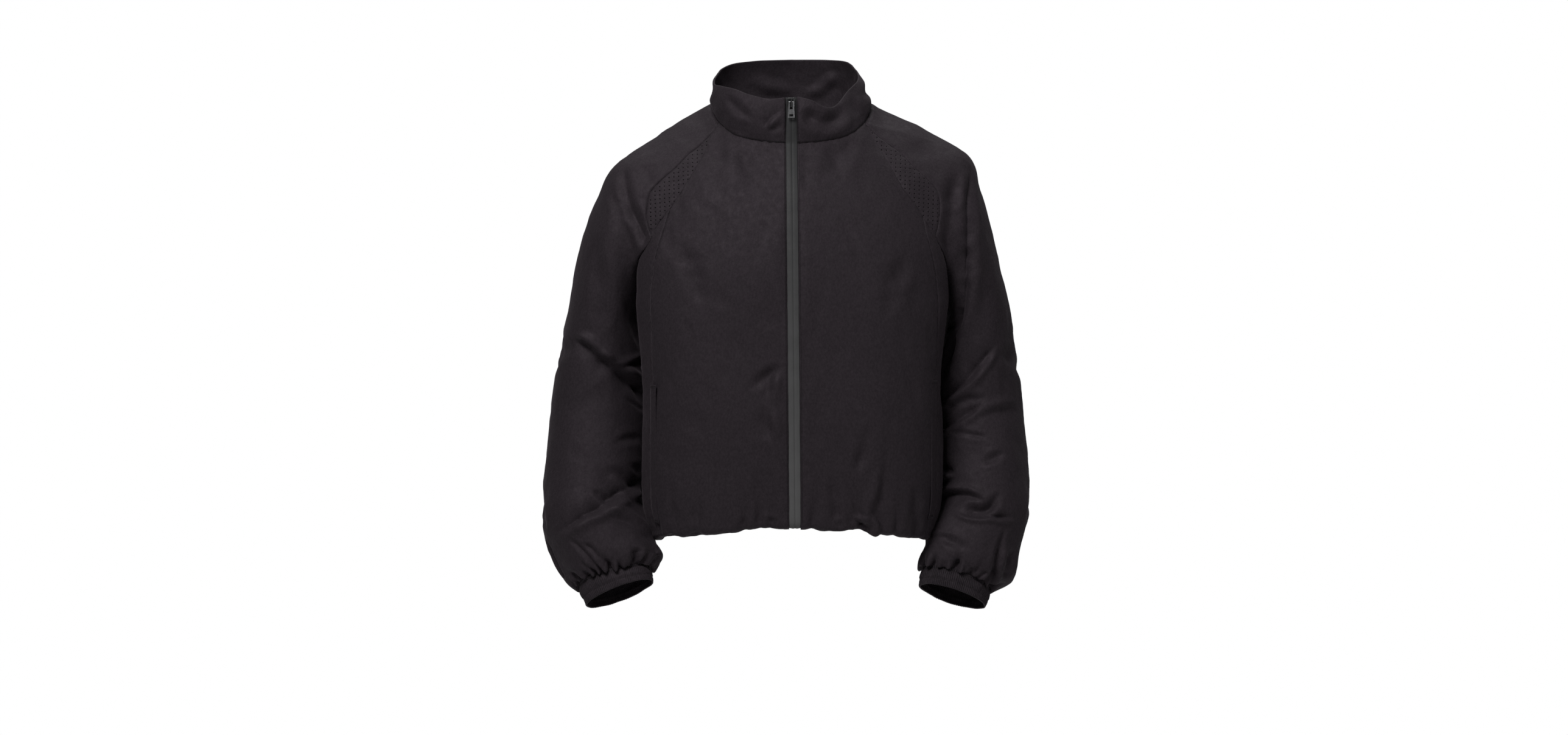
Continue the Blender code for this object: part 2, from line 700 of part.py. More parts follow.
def add_object(name, mesh, finish, collection=COLLECTION):
    mesh.materials.clear()
    mesh.materials.append(finish)
    made = bpy.data.objects.new(name, mesh)
    bpy.data.collections[collection].objects.link(made)
    return made


def inset(points, first_gap, ring):
    """Draws the open edges of a grid back by half the seam gap, its first row by first_gap."""
    moved = points.copy()
    edges = [(moved[0], points[1], np.broadcast_to(first_gap, points.shape[1]))]
    edges.append((moved[-1], points[-2], np.full(points.shape[1], SEAM_GAP / 2)))
    if not ring:
        half = np.full(points.shape[0], SEAM_GAP / 2)
        edges += [(moved[:, 0], points[:, 1], half), (moved[:, -1], points[:, -2], half)]
    for edge, inner, gap in edges:
        way = inner - edge
        size = np.linalg.norm(way, axis=-1, keepdims=True)
        edge += way / np.maximum(size, 1e-6) * gap[:, None] * (size > 1e-3)
    return moved


def draw_in_tips(points, share):
    """Closes both ends of a leaf-shaped grid to a point each."""
    points[:, 0] = points[0, 0] + (points[:, 1].mean(axis=0) - points[0, 0]) * share
    points[:, -1] = points[0, -1] + (points[:, -2].mean(axis=0) - points[0, -1]) * share
    return points


def cloth(name, points, finish, wall=WALL, ring=False, first_gap=SEAM_GAP / 2):
    """A wall of cloth on a grid of points, rows by columns."""
    points = inset(points, first_gap, ring)
    rows, columns = points.shape[:2]
    mesh = bpy.data.meshes.new(name)
    work = bmesh.new()
    corners = [[work.verts.new(p * MM) for p in row] for row in points]
    last = columns if ring else columns - 1
    for r in range(rows - 1):
        for c in range(last):
            d = (c + 1) % columns
            work.faces.new((corners[r][c], corners[r][d], corners[r + 1][d], corners[r + 1][c]))
    bmesh.ops.remove_doubles(work, verts=work.verts, dist=0.02 * MM)
    work.to_mesh(mesh)
    work.free()
    mesh.shade_smooth()
    made = add_object(name, mesh, finish)
    shell = made.modifiers.new("wall", "SOLIDIFY")
    shell.thickness = wall * MM
    shell.offset = 0.0
    return made


def block(name, size, middle, finish, collection=COLLECTION):
    """A box of a size in millimetres, about a middle."""
    mesh = bpy.data.meshes.new(name)
    work = bmesh.new()
    bmesh.ops.create_cube(work, size=1.0)
    bmesh.ops.scale(work, vec=np.array(size) * MM, verts=work.verts)
    work.to_mesh(mesh)
    work.free()
    made = add_object(name, mesh, finish, collection)
    made.location = np.array(middle) * MM
    return made


def cutter(name, size, middle, finish):
    made = block(name, size, middle, finish, CUTTERS)
    made.hide_render = True
    made.display_type = "WIRE"
    return made


def bevel(thing, width):
    edge = thing.modifiers.new("edges", "BEVEL")
    edge.width = width * MM
    edge.segments = 2
    edge.limit_method = "ANGLE"


def boolean(thing, tool, operation):
    cut = thing.modifiers.new(tool.name, "BOOLEAN")
    cut.operation = operation
    cut.object = tool


# ---- the pieces ----------------------------------------------------------------------
def make_body(finish):
    for side, name in SIDES:
        front = front_grid(side)
        cloth(f"front_{name}", on_torso(side, front), finish)
        cloth(f"side_front_{name}", on_torso(side, side_front_grid(side, front)), finish)
        cloth(f"pocket_welt_{name}", welt_grid(side), finish, WELT_WALL)
    halves = [on_torso(side, back_half_grid(side)) for side, _ in SIDES]
    cloth("back", join_halves(*halves), finish)
    casing = join_halves(casing_half(LEFT), casing_half(RIGHT))
    cloth("hem_casing", casing, finish, first_gap=CASING_GAP)


def make_sleeves(finish, cuff_finish):
    for side, name in SIDES:
        sleeve = Sleeve(side)
        gaps = sleeve.start_gaps()
        cloth(f"sleeve_{name}", fold_sleeve(side, sleeve.grid()), finish, ring=True, first_gap=gaps)
        leaf = draw_in_tips(sleeve.insert_grid(), TIP_SHARE)
        cloth(f"insert_{name}", leaf, finish, first_gap=gaps[sleeve.insert_columns()])
        cuff = sleeve.cuff_grid()
        cloth(f"cuff_{name}", cuff, cuff_finish, CUFF_WALL, ring=True, first_gap=CUFF_GAP)


def make_collar(finish):
    cloth("collar", join_halves(collar_half(LEFT), collar_half(RIGHT)), finish)


def make_zip(tape_finish, slider_finish, tab_finish):
    for side, name in SIDES:
        cloth(f"zip_tape_{name}", zip_grid(side), tape_finish, TAPE_WALL)
    middle = float(zip_middle(SLIDER_MIDDLE))
    front = RIM["y"][0] - TAPE_WALL / 2 - SLIDER_OFF_TAPE - SLIDER_SIZE[1]
    make_slider(middle, front, slider_finish)
    make_pull_tab(middle, front - HINGE_OFF_SLIDER, tab_finish)


def make_slider(middle, front, finish):
    """The slider's front plate with the bail that the pull tab hangs on."""
    slider = block("zip_slider", SLIDER_SIZE, (middle, front + SLIDER_SIZE[1] / 2, SLIDER_MIDDLE), finish)
    bevel(slider, SLIDER_BEVEL)
    reach = BAIL_ROOM + BAIL_WALL
    tall = BAIL_WINDOW_HEIGHT + 2 * BAIL_WALL
    bail_size = (BAIL_WIDTH, reach + SLIDER_SIZE[1] / 2, tall)
    bail_middle = (middle, front + (SLIDER_SIZE[1] / 2 - reach) / 2, SLIDER_MIDDLE)
    bail = cutter("bail", bail_size, bail_middle, finish)
    bevel(bail, BAIL_BEVEL)
    room = (2 * BAIL_WIDTH, BAIL_ROOM + BAIL_SINK, BAIL_WINDOW_HEIGHT)
    window = cutter("bail_window", room, (middle, front + (BAIL_SINK - BAIL_ROOM) / 2, SLIDER_MIDDLE), finish)
    boolean(slider, bail, "UNION")
    boolean(slider, window, "DIFFERENCE")


def make_pull_tab(middle, hinge_y, finish):
    """A flat tab, wider at its foot, with its origin on the hinge axis."""
    name = "zip_pull_tab"
    mesh = bpy.data.meshes.new(name)
    work = bmesh.new()
    bmesh.ops.create_cube(work, size=1.0)
    for vert in work.verts:
        width = TAB_TOP_WIDTH if vert.co.z > 0 else TAB_BOTTOM_WIDTH
        vert.co.x *= width * MM
        vert.co.y *= TAB_WALL * MM
        vert.co.z = (vert.co.z - 0.5) * TAB_LENGTH * MM + TAB_BAR / 2 * MM
    work.to_mesh(mesh)
    work.free()
    tab = add_object(name, mesh, finish)
    tab.location = np.array((middle, hinge_y, HINGE_HEIGHT)) * MM
    bevel(tab, TAB_BEVEL)
    slot_middle = HINGE_HEIGHT - TAB_BAR / 2 - TAB_SLOT_LENGTH / 2
    slot_size = (TAB_SLOT_WIDTH, 3 * TAB_WALL, TAB_SLOT_LENGTH)
    slot = cutter("tab_slot", slot_size, (middle, hinge_y, slot_middle), finish)
    end = HINGE_HEIGHT + TAB_BAR / 2 - TAB_LENGTH
    window_size = (TAB_WINDOW[0], 3 * TAB_WALL, TAB_WINDOW[1])
    window_middle = (middle, hinge_y, end + TAB_WINDOW_ABOVE_END + TAB_WINDOW[1] / 2)
    window = cutter("tab_window", window_size, window_middle, finish)
    boolean(tab, slot, "DIFFERENCE")
    boolean(tab, window, "DIFFERENCE")


def make_scene():
    for old in list(bpy.data.objects):
        bpy.data.objects.remove(old, do_unlink=True)
    for name in (COLLECTION, CUTTERS):
        made = bpy.data.collections.new(name)
        bpy.context.scene.collection.children.link(made)
    nylon = material("nylon", (0.024, 0.021, 0.024), 0.62)
    shirring = material("shirring", (0.022, 0.020, 0.022), 0.7)
    tape = material("laminated_tape", (0.075, 0.075, 0.078), 0.42)
    enamel = material("black_enamel", (0.008, 0.008, 0.009), 0.35, 0.6)
    nickel = material("gunmetal", (0.42, 0.42, 0.43), 0.34, 1.0)
    make_body(nylon)
    make_sleeves(nylon, shirring)
    make_collar(nylon)
    make_zip(tape, enamel, nickel)


make_scene()
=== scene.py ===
"""Looks of a cropped windbreaker: cloth with folds, gathers, holes and stitches.

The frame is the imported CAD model.  Sizes and tables here are in millimetres
and the meshes are scaled to metres when they are made.  The front faces -Y,
+X is the viewer's right and +Z is up.

Each piece of cloth is a grid of points on the same form as its solid.  Folds
are lines drawn as one view shows them.  They are laid on the cloth and press
it in along the line, or lift it beside the line.
"""

import bpy
import numpy as np
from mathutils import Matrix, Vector
from mathutils.bvhtree import BVHTree


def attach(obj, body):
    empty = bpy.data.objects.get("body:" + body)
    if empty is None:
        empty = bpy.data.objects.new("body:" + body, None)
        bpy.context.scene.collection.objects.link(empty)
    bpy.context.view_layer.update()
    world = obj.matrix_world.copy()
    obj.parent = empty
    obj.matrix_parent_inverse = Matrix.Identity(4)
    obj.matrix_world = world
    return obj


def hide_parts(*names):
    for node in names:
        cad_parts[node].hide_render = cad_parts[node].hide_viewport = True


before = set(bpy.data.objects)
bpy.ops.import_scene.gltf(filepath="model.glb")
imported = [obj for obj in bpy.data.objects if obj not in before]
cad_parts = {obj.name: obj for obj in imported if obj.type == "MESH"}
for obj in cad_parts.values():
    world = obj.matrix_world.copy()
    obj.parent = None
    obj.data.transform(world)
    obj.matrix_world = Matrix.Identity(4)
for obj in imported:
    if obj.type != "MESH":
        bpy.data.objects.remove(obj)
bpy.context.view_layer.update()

MM = 0.001
LEFT = -1
RIGHT = 1
SIDES = ((LEFT, "left"), (RIGHT, "right"))
UP = np.array((0.0, 0.0, 1.0))


class Table:
    """Rows of numbers under named columns."""

    def __init__(self, names, *rows):
        self.names = names.split()
        self.rows = np.array(rows, float)

    def __getitem__(self, name):
        return self.rows[:, self.names.index(name)]


# ---- the form, as the solids have it ----
PLACES = np.array((0.0, 0.20, 0.42, 0.58, 0.74, 0.87, 1.0))
SECTION = ("front", "quarter", "corner", "side", "back_corner", "back_quarter", "back")
SIDE_PLACE = 0.58
PRINCESS_HEM_PLACE = 0.38
BODY = Table(
    "height front_y quarter_x quarter_y corner_x corner_y side_x side_y"
    " back_corner_x back_corner_y back_quarter_x back_quarter_y back_y",
    (40, -76, 52, -64, 88, -34, 104, -8, 86, 26, 48, 48, 56),
    (5, -84, 62, -72, 104, -38, 150, 0, 112, 36, 62, 56, 64),
    (-28, -92, 80, -79, 140, -44, 205, 0, 140, 48, 75, 74, 78),
    (-60, -107, 95, -94, 170, -55, 240, 2, 165, 62, 92, 90, 93),
    (-110, -126, 112, -114, 190, -71, 262, 5, 183, 76, 104, 108, 113),
    (-165, -139, 120, -128, 197, -83, 203, 8, 186, 84, 108, 122, 128),
    (-235, -147, 124, -137, 203, -80, 189, 12, 184, 86, 108, 130, 138),
    (-340, -151, 126, -141, 205, -73, 181, 14, 179, 92, 107, 137, 146),
    (-430, -151, 125, -142, 204, -72, 180, 10, 180, 92, 108, 139, 148),
    (-500, -149, 123, -140, 203, -74, 179, 5, 181, 88, 108, 136, 146),
    (-560, -143, 118, -132, 196, -73, 173, 0, 174, 80, 103, 129, 138),
)
HEM = Table(
    "place height",
    (0.0, -532), (0.12, -537), (0.22, -541), (0.34, -547), (0.46, -551), (0.58, -549),
    (0.74, -545), (0.87, -542), (1.0, -541),
)
HEM_ROLL = 9.0
CASING_HEIGHT = 24.0
CASING_LEAN = 2.0

BODY_ROUND = np.array((1 / 200**2, 1 / 145**2, 0.0))  # of the oval that the body is nearest to
HALVINGS = 24  # when a place is looked for

ZIP_TOP = 33.0
ZIP_MIDDLE_TOP = -1.0
ZIP_MIDDLE_BOTTOM = 4.0
TAPE_WIDTH = 7.6
ZIP_HALF = 7.75
NECK = Table("x height", (0, -28), (40, -24.5), (62, -20), (76, -15), (88, -6), (97, 4))
NECK_FRONT_HEIGHT = 4.0
NECK_FRONT_X = 97.0
SHOULDER_POINT = (104.0, 4.0, 37.0)
BACK_NECK = Table("x height", (0, 22), (40, 24), (76, 29))
BACK_NECK_HEIGHT = 29.0
UNDERARM_HEIGHT = -235.0
RAGLAN = Table(
    "height left_x right_x",
    (4, 97, 97), (-32, 112, 117), (-60, 127, 132), (-87, 143, 147), (-113, 160, 166),
    (-135, 177, 179), (-160, 189, 194),
)
RAGLAN_HIDDEN = Table("height place", (-184, 0.462), (-210, 0.525), (-235, SIDE_PLACE))
BACK_RAGLAN = Table(
    "height place",
    (29, 0.800), (0, 0.795), (-50, 0.785), (-110, 0.772), (-160, 0.740), (-205, 0.665), (-235, SIDE_PLACE),
)
PRINCESS_TOP = {LEFT: -112.0, RIGHT: -124.0}
PRINCESS = Table(
    "height left_x right_x",
    (-146, 170, 176), (-175, 178, 184), (-210, 184, 191), (-260, 188, 195), (-346, 191, 197),
    (-460, 191, 197), (-530, 188, 193), (-560, 184, 188),
)
SLEEVE_LOOPS = {
    LEFT: Table(
        "outer_x outer_z inner_x inner_z middle_y depth rise",
        (228, -37, 211, -250, 8, 83, 0),
        (264, -96, 211, -262, 9, 82, 0),
        (287, -170, 209, -280, 10, 79, 0),
        (304, -248, 204, -308, 12, 76, 2),
        (317, -312, 200, -350, 14, 73, 4),
        (325, -376, 197, -396, 11, 71, 6),
        (331, -440, 200, -442, 0, 70, 9),
        (336, -495, 205, -486, -17, 68, 13),
        (335, -532, 209, -520, -32, 66, 16),
        (322, -572, 200, -553, -48, 61, 19),
        (303, -605, 178, -574, -62, 51, 22),
        (282, -611, 191, -588, -68, 33, 23),
        (271, -638, 184, -606, -81, 31, 23),
    ),
    RIGHT: Table(
        "outer_x outer_z inner_x inner_z middle_y depth rise",
        (226, -27, 211, -250, 8, 83, 0),
        (256, -84, 211, -262, 9, 82, 0),
        (274, -155, 209, -280, 10, 79, 0),
        (292, -238, 204, -308, 12, 76, 2),
        (304, -303, 200, -350, 14, 73, 4),
        (312, -366, 197, -396, 11, 71, 6),
        (316, -428, 199, -442, 0, 70, 9),
        (317, -482, 203, -486, -17, 68, 13),
        (316, -522, 206, -520, -32, 65, 16),
        (303, -566, 197, -555, -48, 59, 19),
        (293, -606, 178, -577, -62, 49, 22),
        (261, -616, 177, -589, -68, 33, 23),
        (255, -639, 170, -612, -81, 31, 23),
    ),
}
ARMPIT_LEAD = 0.06
ARMPIT_LOOPS = 5
INSERT_LOOPS = 2.0  # the insert reaches less far out than this
INSERT = Table(
    "down_seam width",
    (0, 0), (30, 13), (50, 25), (72, 30), (96, 38), (122, 42), (150, 30), (176, 12), (190, 0),
)
RIM = Table(
    "way y left_x left_z right_x right_z",
    (0.00, -90, 7.7, 32, 7.7, 33),
    (0.10, -92, 30, 30, 26, 28),
    (0.20, -85, 55, 36, 46, 20),
    (0.29, -70, 75, 45, 60, 25),
    (0.38, -49, 92, 51, 75, 45),
    (0.48, -22, 103, 57, 88, 61),
    (0.58, 4, 99, 74, 91, 79),
    (0.70, 26, 84, 88, 80, 92),
    (0.84, 45, 52, 96, 51, 97),
    (1.00, 54, 0, 99, 0, 99),
)
COLLAR_BULGE = 4.0
POCKET_TOP = {LEFT: -346.0, RIGHT: -340.0}
POCKET_LENGTH = 182.0
WELT_WIDTH = 10.0
WELT_INSET = 0.8

# ---- fineness of the grids ----
BODY_ROWS = 218
HEM_ANGLES = np.linspace(180, 15, 12)  # degrees round the hem's fold
NECK_COLUMNS = 40
RAGLAN_COLUMNS = 40
SIDE_COLUMNS = 40
SHOULDER_COLUMNS = 32
BACK_RAGLAN_COLUMNS = 60
BACK_NECK_COLUMNS = 24
SLEEVE_ROWS = 224
INSERT_ROWS = 24
COLLAR_ROWS = 34
CUFF_ROWS = 22
RIB_COLUMNS = 5
CASING_COLUMNS = 150
TAPE_ROWS = 250
CLOTH_WALL = 0.6
TAPE_WALL = 0.5
WELT_WALL = 0.8
SEAM_POINTS = 400  # on a seam before it is parted evenly
NECK_ROUNDS = 4
WELT_ROWS = 92
WELT_COLUMNS = 8
CASING_ROWS = 12
LOOP_POINTS = 721
REACH_POINTS = 160

# ---- folds ----
# Under the view that shows it, a fold's width and depth, how sharp its bottom is (0 round,
# 1 creased), the side on which the cloth stands up beside it (1 left of the way the line is
# drawn, -1 right, 0 both), the shares of the line over which it starts and ends, and the line.
EYE = np.array((-10.4, -3500.0, -323.2))
SLEEVE_PLANE = -60.0
BODY_PLANE = -140.0
COLLAR_PLANE = -80.0
LEFT_SLEEVE_FOLDS = {
    "front": (
        (10, 5.5, 0.8, 0, 0.45, 0.0,
         ((-225, -52), (-223, -78), (-219, -102), (-211, -122), (-202, -140), (-193, -160))),
        (9, 2.2, 0.4, 0, 0.3, 0.3,
         ((-245, -76), (-240, -92), (-233, -106), (-225, -125), (-217, -148), (-210, -175), (-201, -212))),
        (4, 1.4, 0.8, 0, 0.3, 0.4, ((-195, -55), (-190, -68), (-186, -84))),
        (15, 3.5, 0, 0, 0.4, 0.4, ((-262, -150), (-258, -200), (-254, -250), (-250, -292))),
        (11, 3.5, 0, 0, 0.4, 0.3, ((-222, -232), (-214, -262), (-205, -300))),
        (9, 8.5, 0.6, 1, 0.25, 0.0,
         ((-293, -285), (-276, -295), (-260, -310), (-246, -320), (-225, -335), (-203, -352))),
        (5, 3, 0.5, 1, 0.3, 0.0, ((-238, -321), (-222, -321), (-202, -312))),
        (4, 2, 0.8, 0, 0.4, 0.0, ((-226, -361), (-214, -370), (-202, -379))),
        (7, 2.2, 0.2, 0, 0.4, 0.3, ((-243, -428), (-226, -419), (-203, -417))),
        (9, 3, 0.2, 0, 0.4, 0.35,
         ((-258, -470), (-247, -464), (-234, -463), (-225, -469), (-216, -478), (-203, -476))),
        (8, 2, 0.2, 0, 0.5, 0.4, ((-222, -452), (-212, -458), (-202, -464))),
        (9, 6.5, 0.9, 1, 0.15, 0.35,
         ((-199, -478), (-217, -483), (-232, -490), (-247, -500), (-262, -511), (-281, -521), (-297, -533),
          (-322, -546))),
        (6, 3.5, 0.5, 0, 0.4, 0.2, ((-266, -484), (-255, -493), (-243, -500))),
        (9, 5, 0.3, 1, 0.35, 0.0,
         ((-263, -518), (-246, -521), (-230, -527), (-216, -538), (-203, -550), (-190, -557))),
        (7, 5, 0.3, 0, 0.3, 0.0, ((-214, -560), (-210, -570), (-214, -582))),
        (5, 3.2, 0.8, 0, 0.3, 0.0, ((-300, -550), (-288, -558), (-278, -568), (-268, -578), (-262, -590))),
        (4.5, 3.2, 0.9, 0, 0.3, 0.0, ((-280, -556), (-270, -562), (-260, -572), (-250, -583))),
        (4, 3, 0.7, 0, 0.3, 0.0, ((-284, -580), (-275, -588), (-266, -598))),
        (4, 3.5, 0.7, -1, 0.3, 0.0, ((-296, -598), (-288, -603), (-281, -609))),
        (3.5, 3, 0.7, 1, 0.4, 0.0, ((-236, -572), (-240, -580), (-243, -588))),
    ),
    "left": (
        (15, 3, 0.0, 0, 0.4, 0.4, ((-10, -285), (14, -292), (38, -312))),
        (13, 3, 0.2, 0, 0.3, 0.4, ((-52, -292), (-24, -300), (8, -318), (34, -346))),
        (13, 4, 0.1, 0, 0.4, 0.4, ((24, -150), (18, -205), (6, -262))),
        (11, 3.5, 0.4, 0, 0.3, 0.3, ((22, -478), (-6, -492), (-36, -512), (-66, -540))),
        (10, 2.5, 0.2, 0, 0.3, 0.3, ((40, -440), (12, -452), (-12, -470))),
        (7, 4, 0.5, 0, 0.4, 0.0, ((-20, -540), (-34, -566), (-44, -598))),
        (6, 4, 0.6, 0, 0.4, 0.0, ((-46, -548), (-58, -574), (-64, -600))),
    ),
    "back": (
        (12, 6, 0.5, -1, 0.3, 0.2, ((-284, -300), (-262, -316), (-238, -326), (-208, -350))),
        (10, 5, 0.3, 1, 0.3, 0.3, ((-296, -352), (-270, -368), (-240, -380), (-210, -384))),
        (9, 4, 0.5, -1, 0.3, 0.2, ((-270, -398), (-244, -412), (-212, -420))),
        (12, 5, 0.2, 0, 0.3, 0.4, ((-196, -118), (-214, -168), (-226, -226), (-232, -270))),
        (9, 4, 0.6, 1, 0.3, 0.4, ((-186, -96), (-204, -134), (-236, -176), (-258, -196))),
        (9, 7, 0.7, -1, 0.2, 0.2, ((-212, -470), (-240, -486), (-272, -500), (-306, -512))),
        (8, 5, 0.4, 1, 0.3, 0.2, ((-316, -530), (-282, -538), (-246, -534), (-214, -522))),
        (6, 5, 0.7, 0, 0.4, 0.0, ((-292, -548), (-282, -570), (-270, -594))),
        (5, 4, 0.7, 0, 0.4, 0.0, ((-262, -552), (-256, -572), (-250, -588))),
        (6, 4, 0.6, 0, 0.4, 0.0, ((-222, -546), (-220, -564), (-222, -584))),
    ),
}
RIGHT_SLEEVE_FOLDS = {
    "front": (
        (14, 4.5, 0.1, 0, 0.35, 0.2,
         ((218, -46), (219, -75), (217, -104), (213, -130), (207, -160), (204, -190))),
        (12, 8, 0.9, 0, 0.25, 0.1,
         ((239, -50), (239, -84), (237, -120), (235, -160), (230, -208), (224, -240), (216, -272),
          (209, -308), (205, -342))),
        (5, 5, 0.5, 0, 0.3, 0.0, ((217, -262), (212, -268), (206, -276))),
        (16, 2, 0, 0, 0.4, 0.4, ((262, -170), (258, -220), (250, -270), (240, -300))),
        (7, 5.5, 0.9, 1, 0.45, 0.0,
         ((277, -288), (262, -306), (247, -324), (232, -341), (219, -353), (204, -368))),
        (6, 2.5, 0.2, 0, 0.3, 0.2, ((262, -362), (242, -364), (222, -371), (208, -378))),
        (6, 4.5, 0.9, 1, 0.4, 0.0, ((260, -366), (246, -376), (232, -387), (219, -396), (204, -404))),
        (8, 2.5, 0, -1, 0.3, 0.4, ((303, -375), (278, -380), (258, -386), (244, -392))),
        (4, 2, 0.4, 0, 0.3, 0.3, ((213, -411), (236, -411), (262, -417))),
        (7, 3, 0.1, 0, 0.4, 0.4, ((285, -436), (268, -444), (248, -452))),
        (5, 4, 0.3, 1, 0.4, 0.0, ((222, -463), (212, -461), (202, -457))),
        (4, 2, 0.8, -1, 0.4, 0.0, ((222, -468), (212, -474), (202, -480))),
        (6, 4.5, 0.5, -1, 0.3, 0.2,
         ((262, -503), (252, -498), (240, -493), (226, -491), (212, -492), (200, -499))),
        (8, 6, 0.3, 0, 0.3, 0.3,
         ((227, -507), (242, -511), (256, -512), (266, -507), (272, -498), (277, -488))),
        (4, 3.5, 0.8, -1, 0.3, 0.3,
         ((223, -510), (232, -516), (243, -521), (258, -521), (276, -522), (302, -524))),
        (4, 2, 0.8, 1, 0.3, 0.3, ((200, -543), (212, -548), (226, -547))),
        (8, 2.5, 0, 0, 0.3, 0.3, ((212, -550), (224, -556), (236, -566))),
        (7, 6, 0.7, 0, 0.4, 0.0, ((286, -533), (281, -552), (277, -570), (271, -592), (262, -614))),
        (4, 4, 0.8, 0, 0.4, 0.0, ((212, -576), (206, -578), (202, -588))),
        (4, 4, 0.9, 1, 0.4, 0.0, ((227, -580), (220, -587), (216, -598))),
        (4, 4, 0.9, 1, 0.4, 0.0, ((244, -589), (235, -591), (227, -602))),
        (4, 4.5, 0.8, 1, 0.3, 0.0, ((264, -595), (254, -596), (244, -600), (235, -606))),
        (4, 3.5, 0.8, 1, 0.4, 0.0, ((266, -603), (258, -604), (248, -609))),
        (10, 4, 0.2, 0, 0.4, 0.2, ((298, -560), (292, -580), (284, -604))),
    ),
    "right": (
        (15, 3, 0.0, 0, 0.4, 0.4, ((-12, -280), (12, -290), (38, -306))),
        (13, 3, 0.2, 0, 0.3, 0.4, ((-54, -306), (-26, -312), (6, -326), (32, -350))),
        (13, 4, 0.1, 0, 0.4, 0.4, ((26, -140), (20, -196), (8, -250))),
        (11, 3.5, 0.4, 0, 0.3, 0.3, ((24, -470), (-4, -486), (-34, -508), (-62, -528))),
        (10, 2.5, 0.2, 0, 0.3, 0.3, ((40, -430), (14, -440), (-12, -456))),
        (7, 4, 0.5, 0, 0.4, 0.0, ((-20, -536), (-32, -562), (-40, -596))),
        (6, 4, 0.6, 0, 0.4, 0.0, ((-44, -546), (-56, -572), (-62, -602))),
    ),
    "back": (
        (12, 6, 0.5, 1, 0.3, 0.2, ((280, -296), (258, -310), (236, -322), (206, -344))),
        (10, 5, 0.3, -1, 0.3, 0.3, ((290, -340), (266, -358), (238, -372), (208, -380))),
        (9, 4, 0.5, 1, 0.3, 0.2, ((268, -392), (240, -408), (210, -414))),
        (12, 5, 0.2, 0, 0.3, 0.4, ((196, -112), (214, -160), (226, -220), (232, -266))),
        (9, 4, 0.6, -1, 0.3, 0.4, ((188, -92), (206, -130), (234, -170), (250, -192))),
        (9, 7, 0.7, 1, 0.2, 0.2, ((210, -466), (238, -482), (268, -494), (298, -506))),
        (8, 5, 0.4, -1, 0.3, 0.2, ((300, -524), (272, -534), (240, -532), (212, -520))),
        (6, 5, 0.7, 0, 0.4, 0.0, ((280, -548), (270, -572), (258, -598))),
        (5, 4, 0.7, 0, 0.4, 0.0, ((248, -552), (240, -572), (234, -594))),
        (6, 4, 0.6, 0, 0.4, 0.0, ((212, -546), (206, -566), (204, -586))),
    ),
}
SLEEVE_FOLDS = {LEFT: LEFT_SLEEVE_FOLDS, RIGHT: RIGHT_SLEEVE_FOLDS}
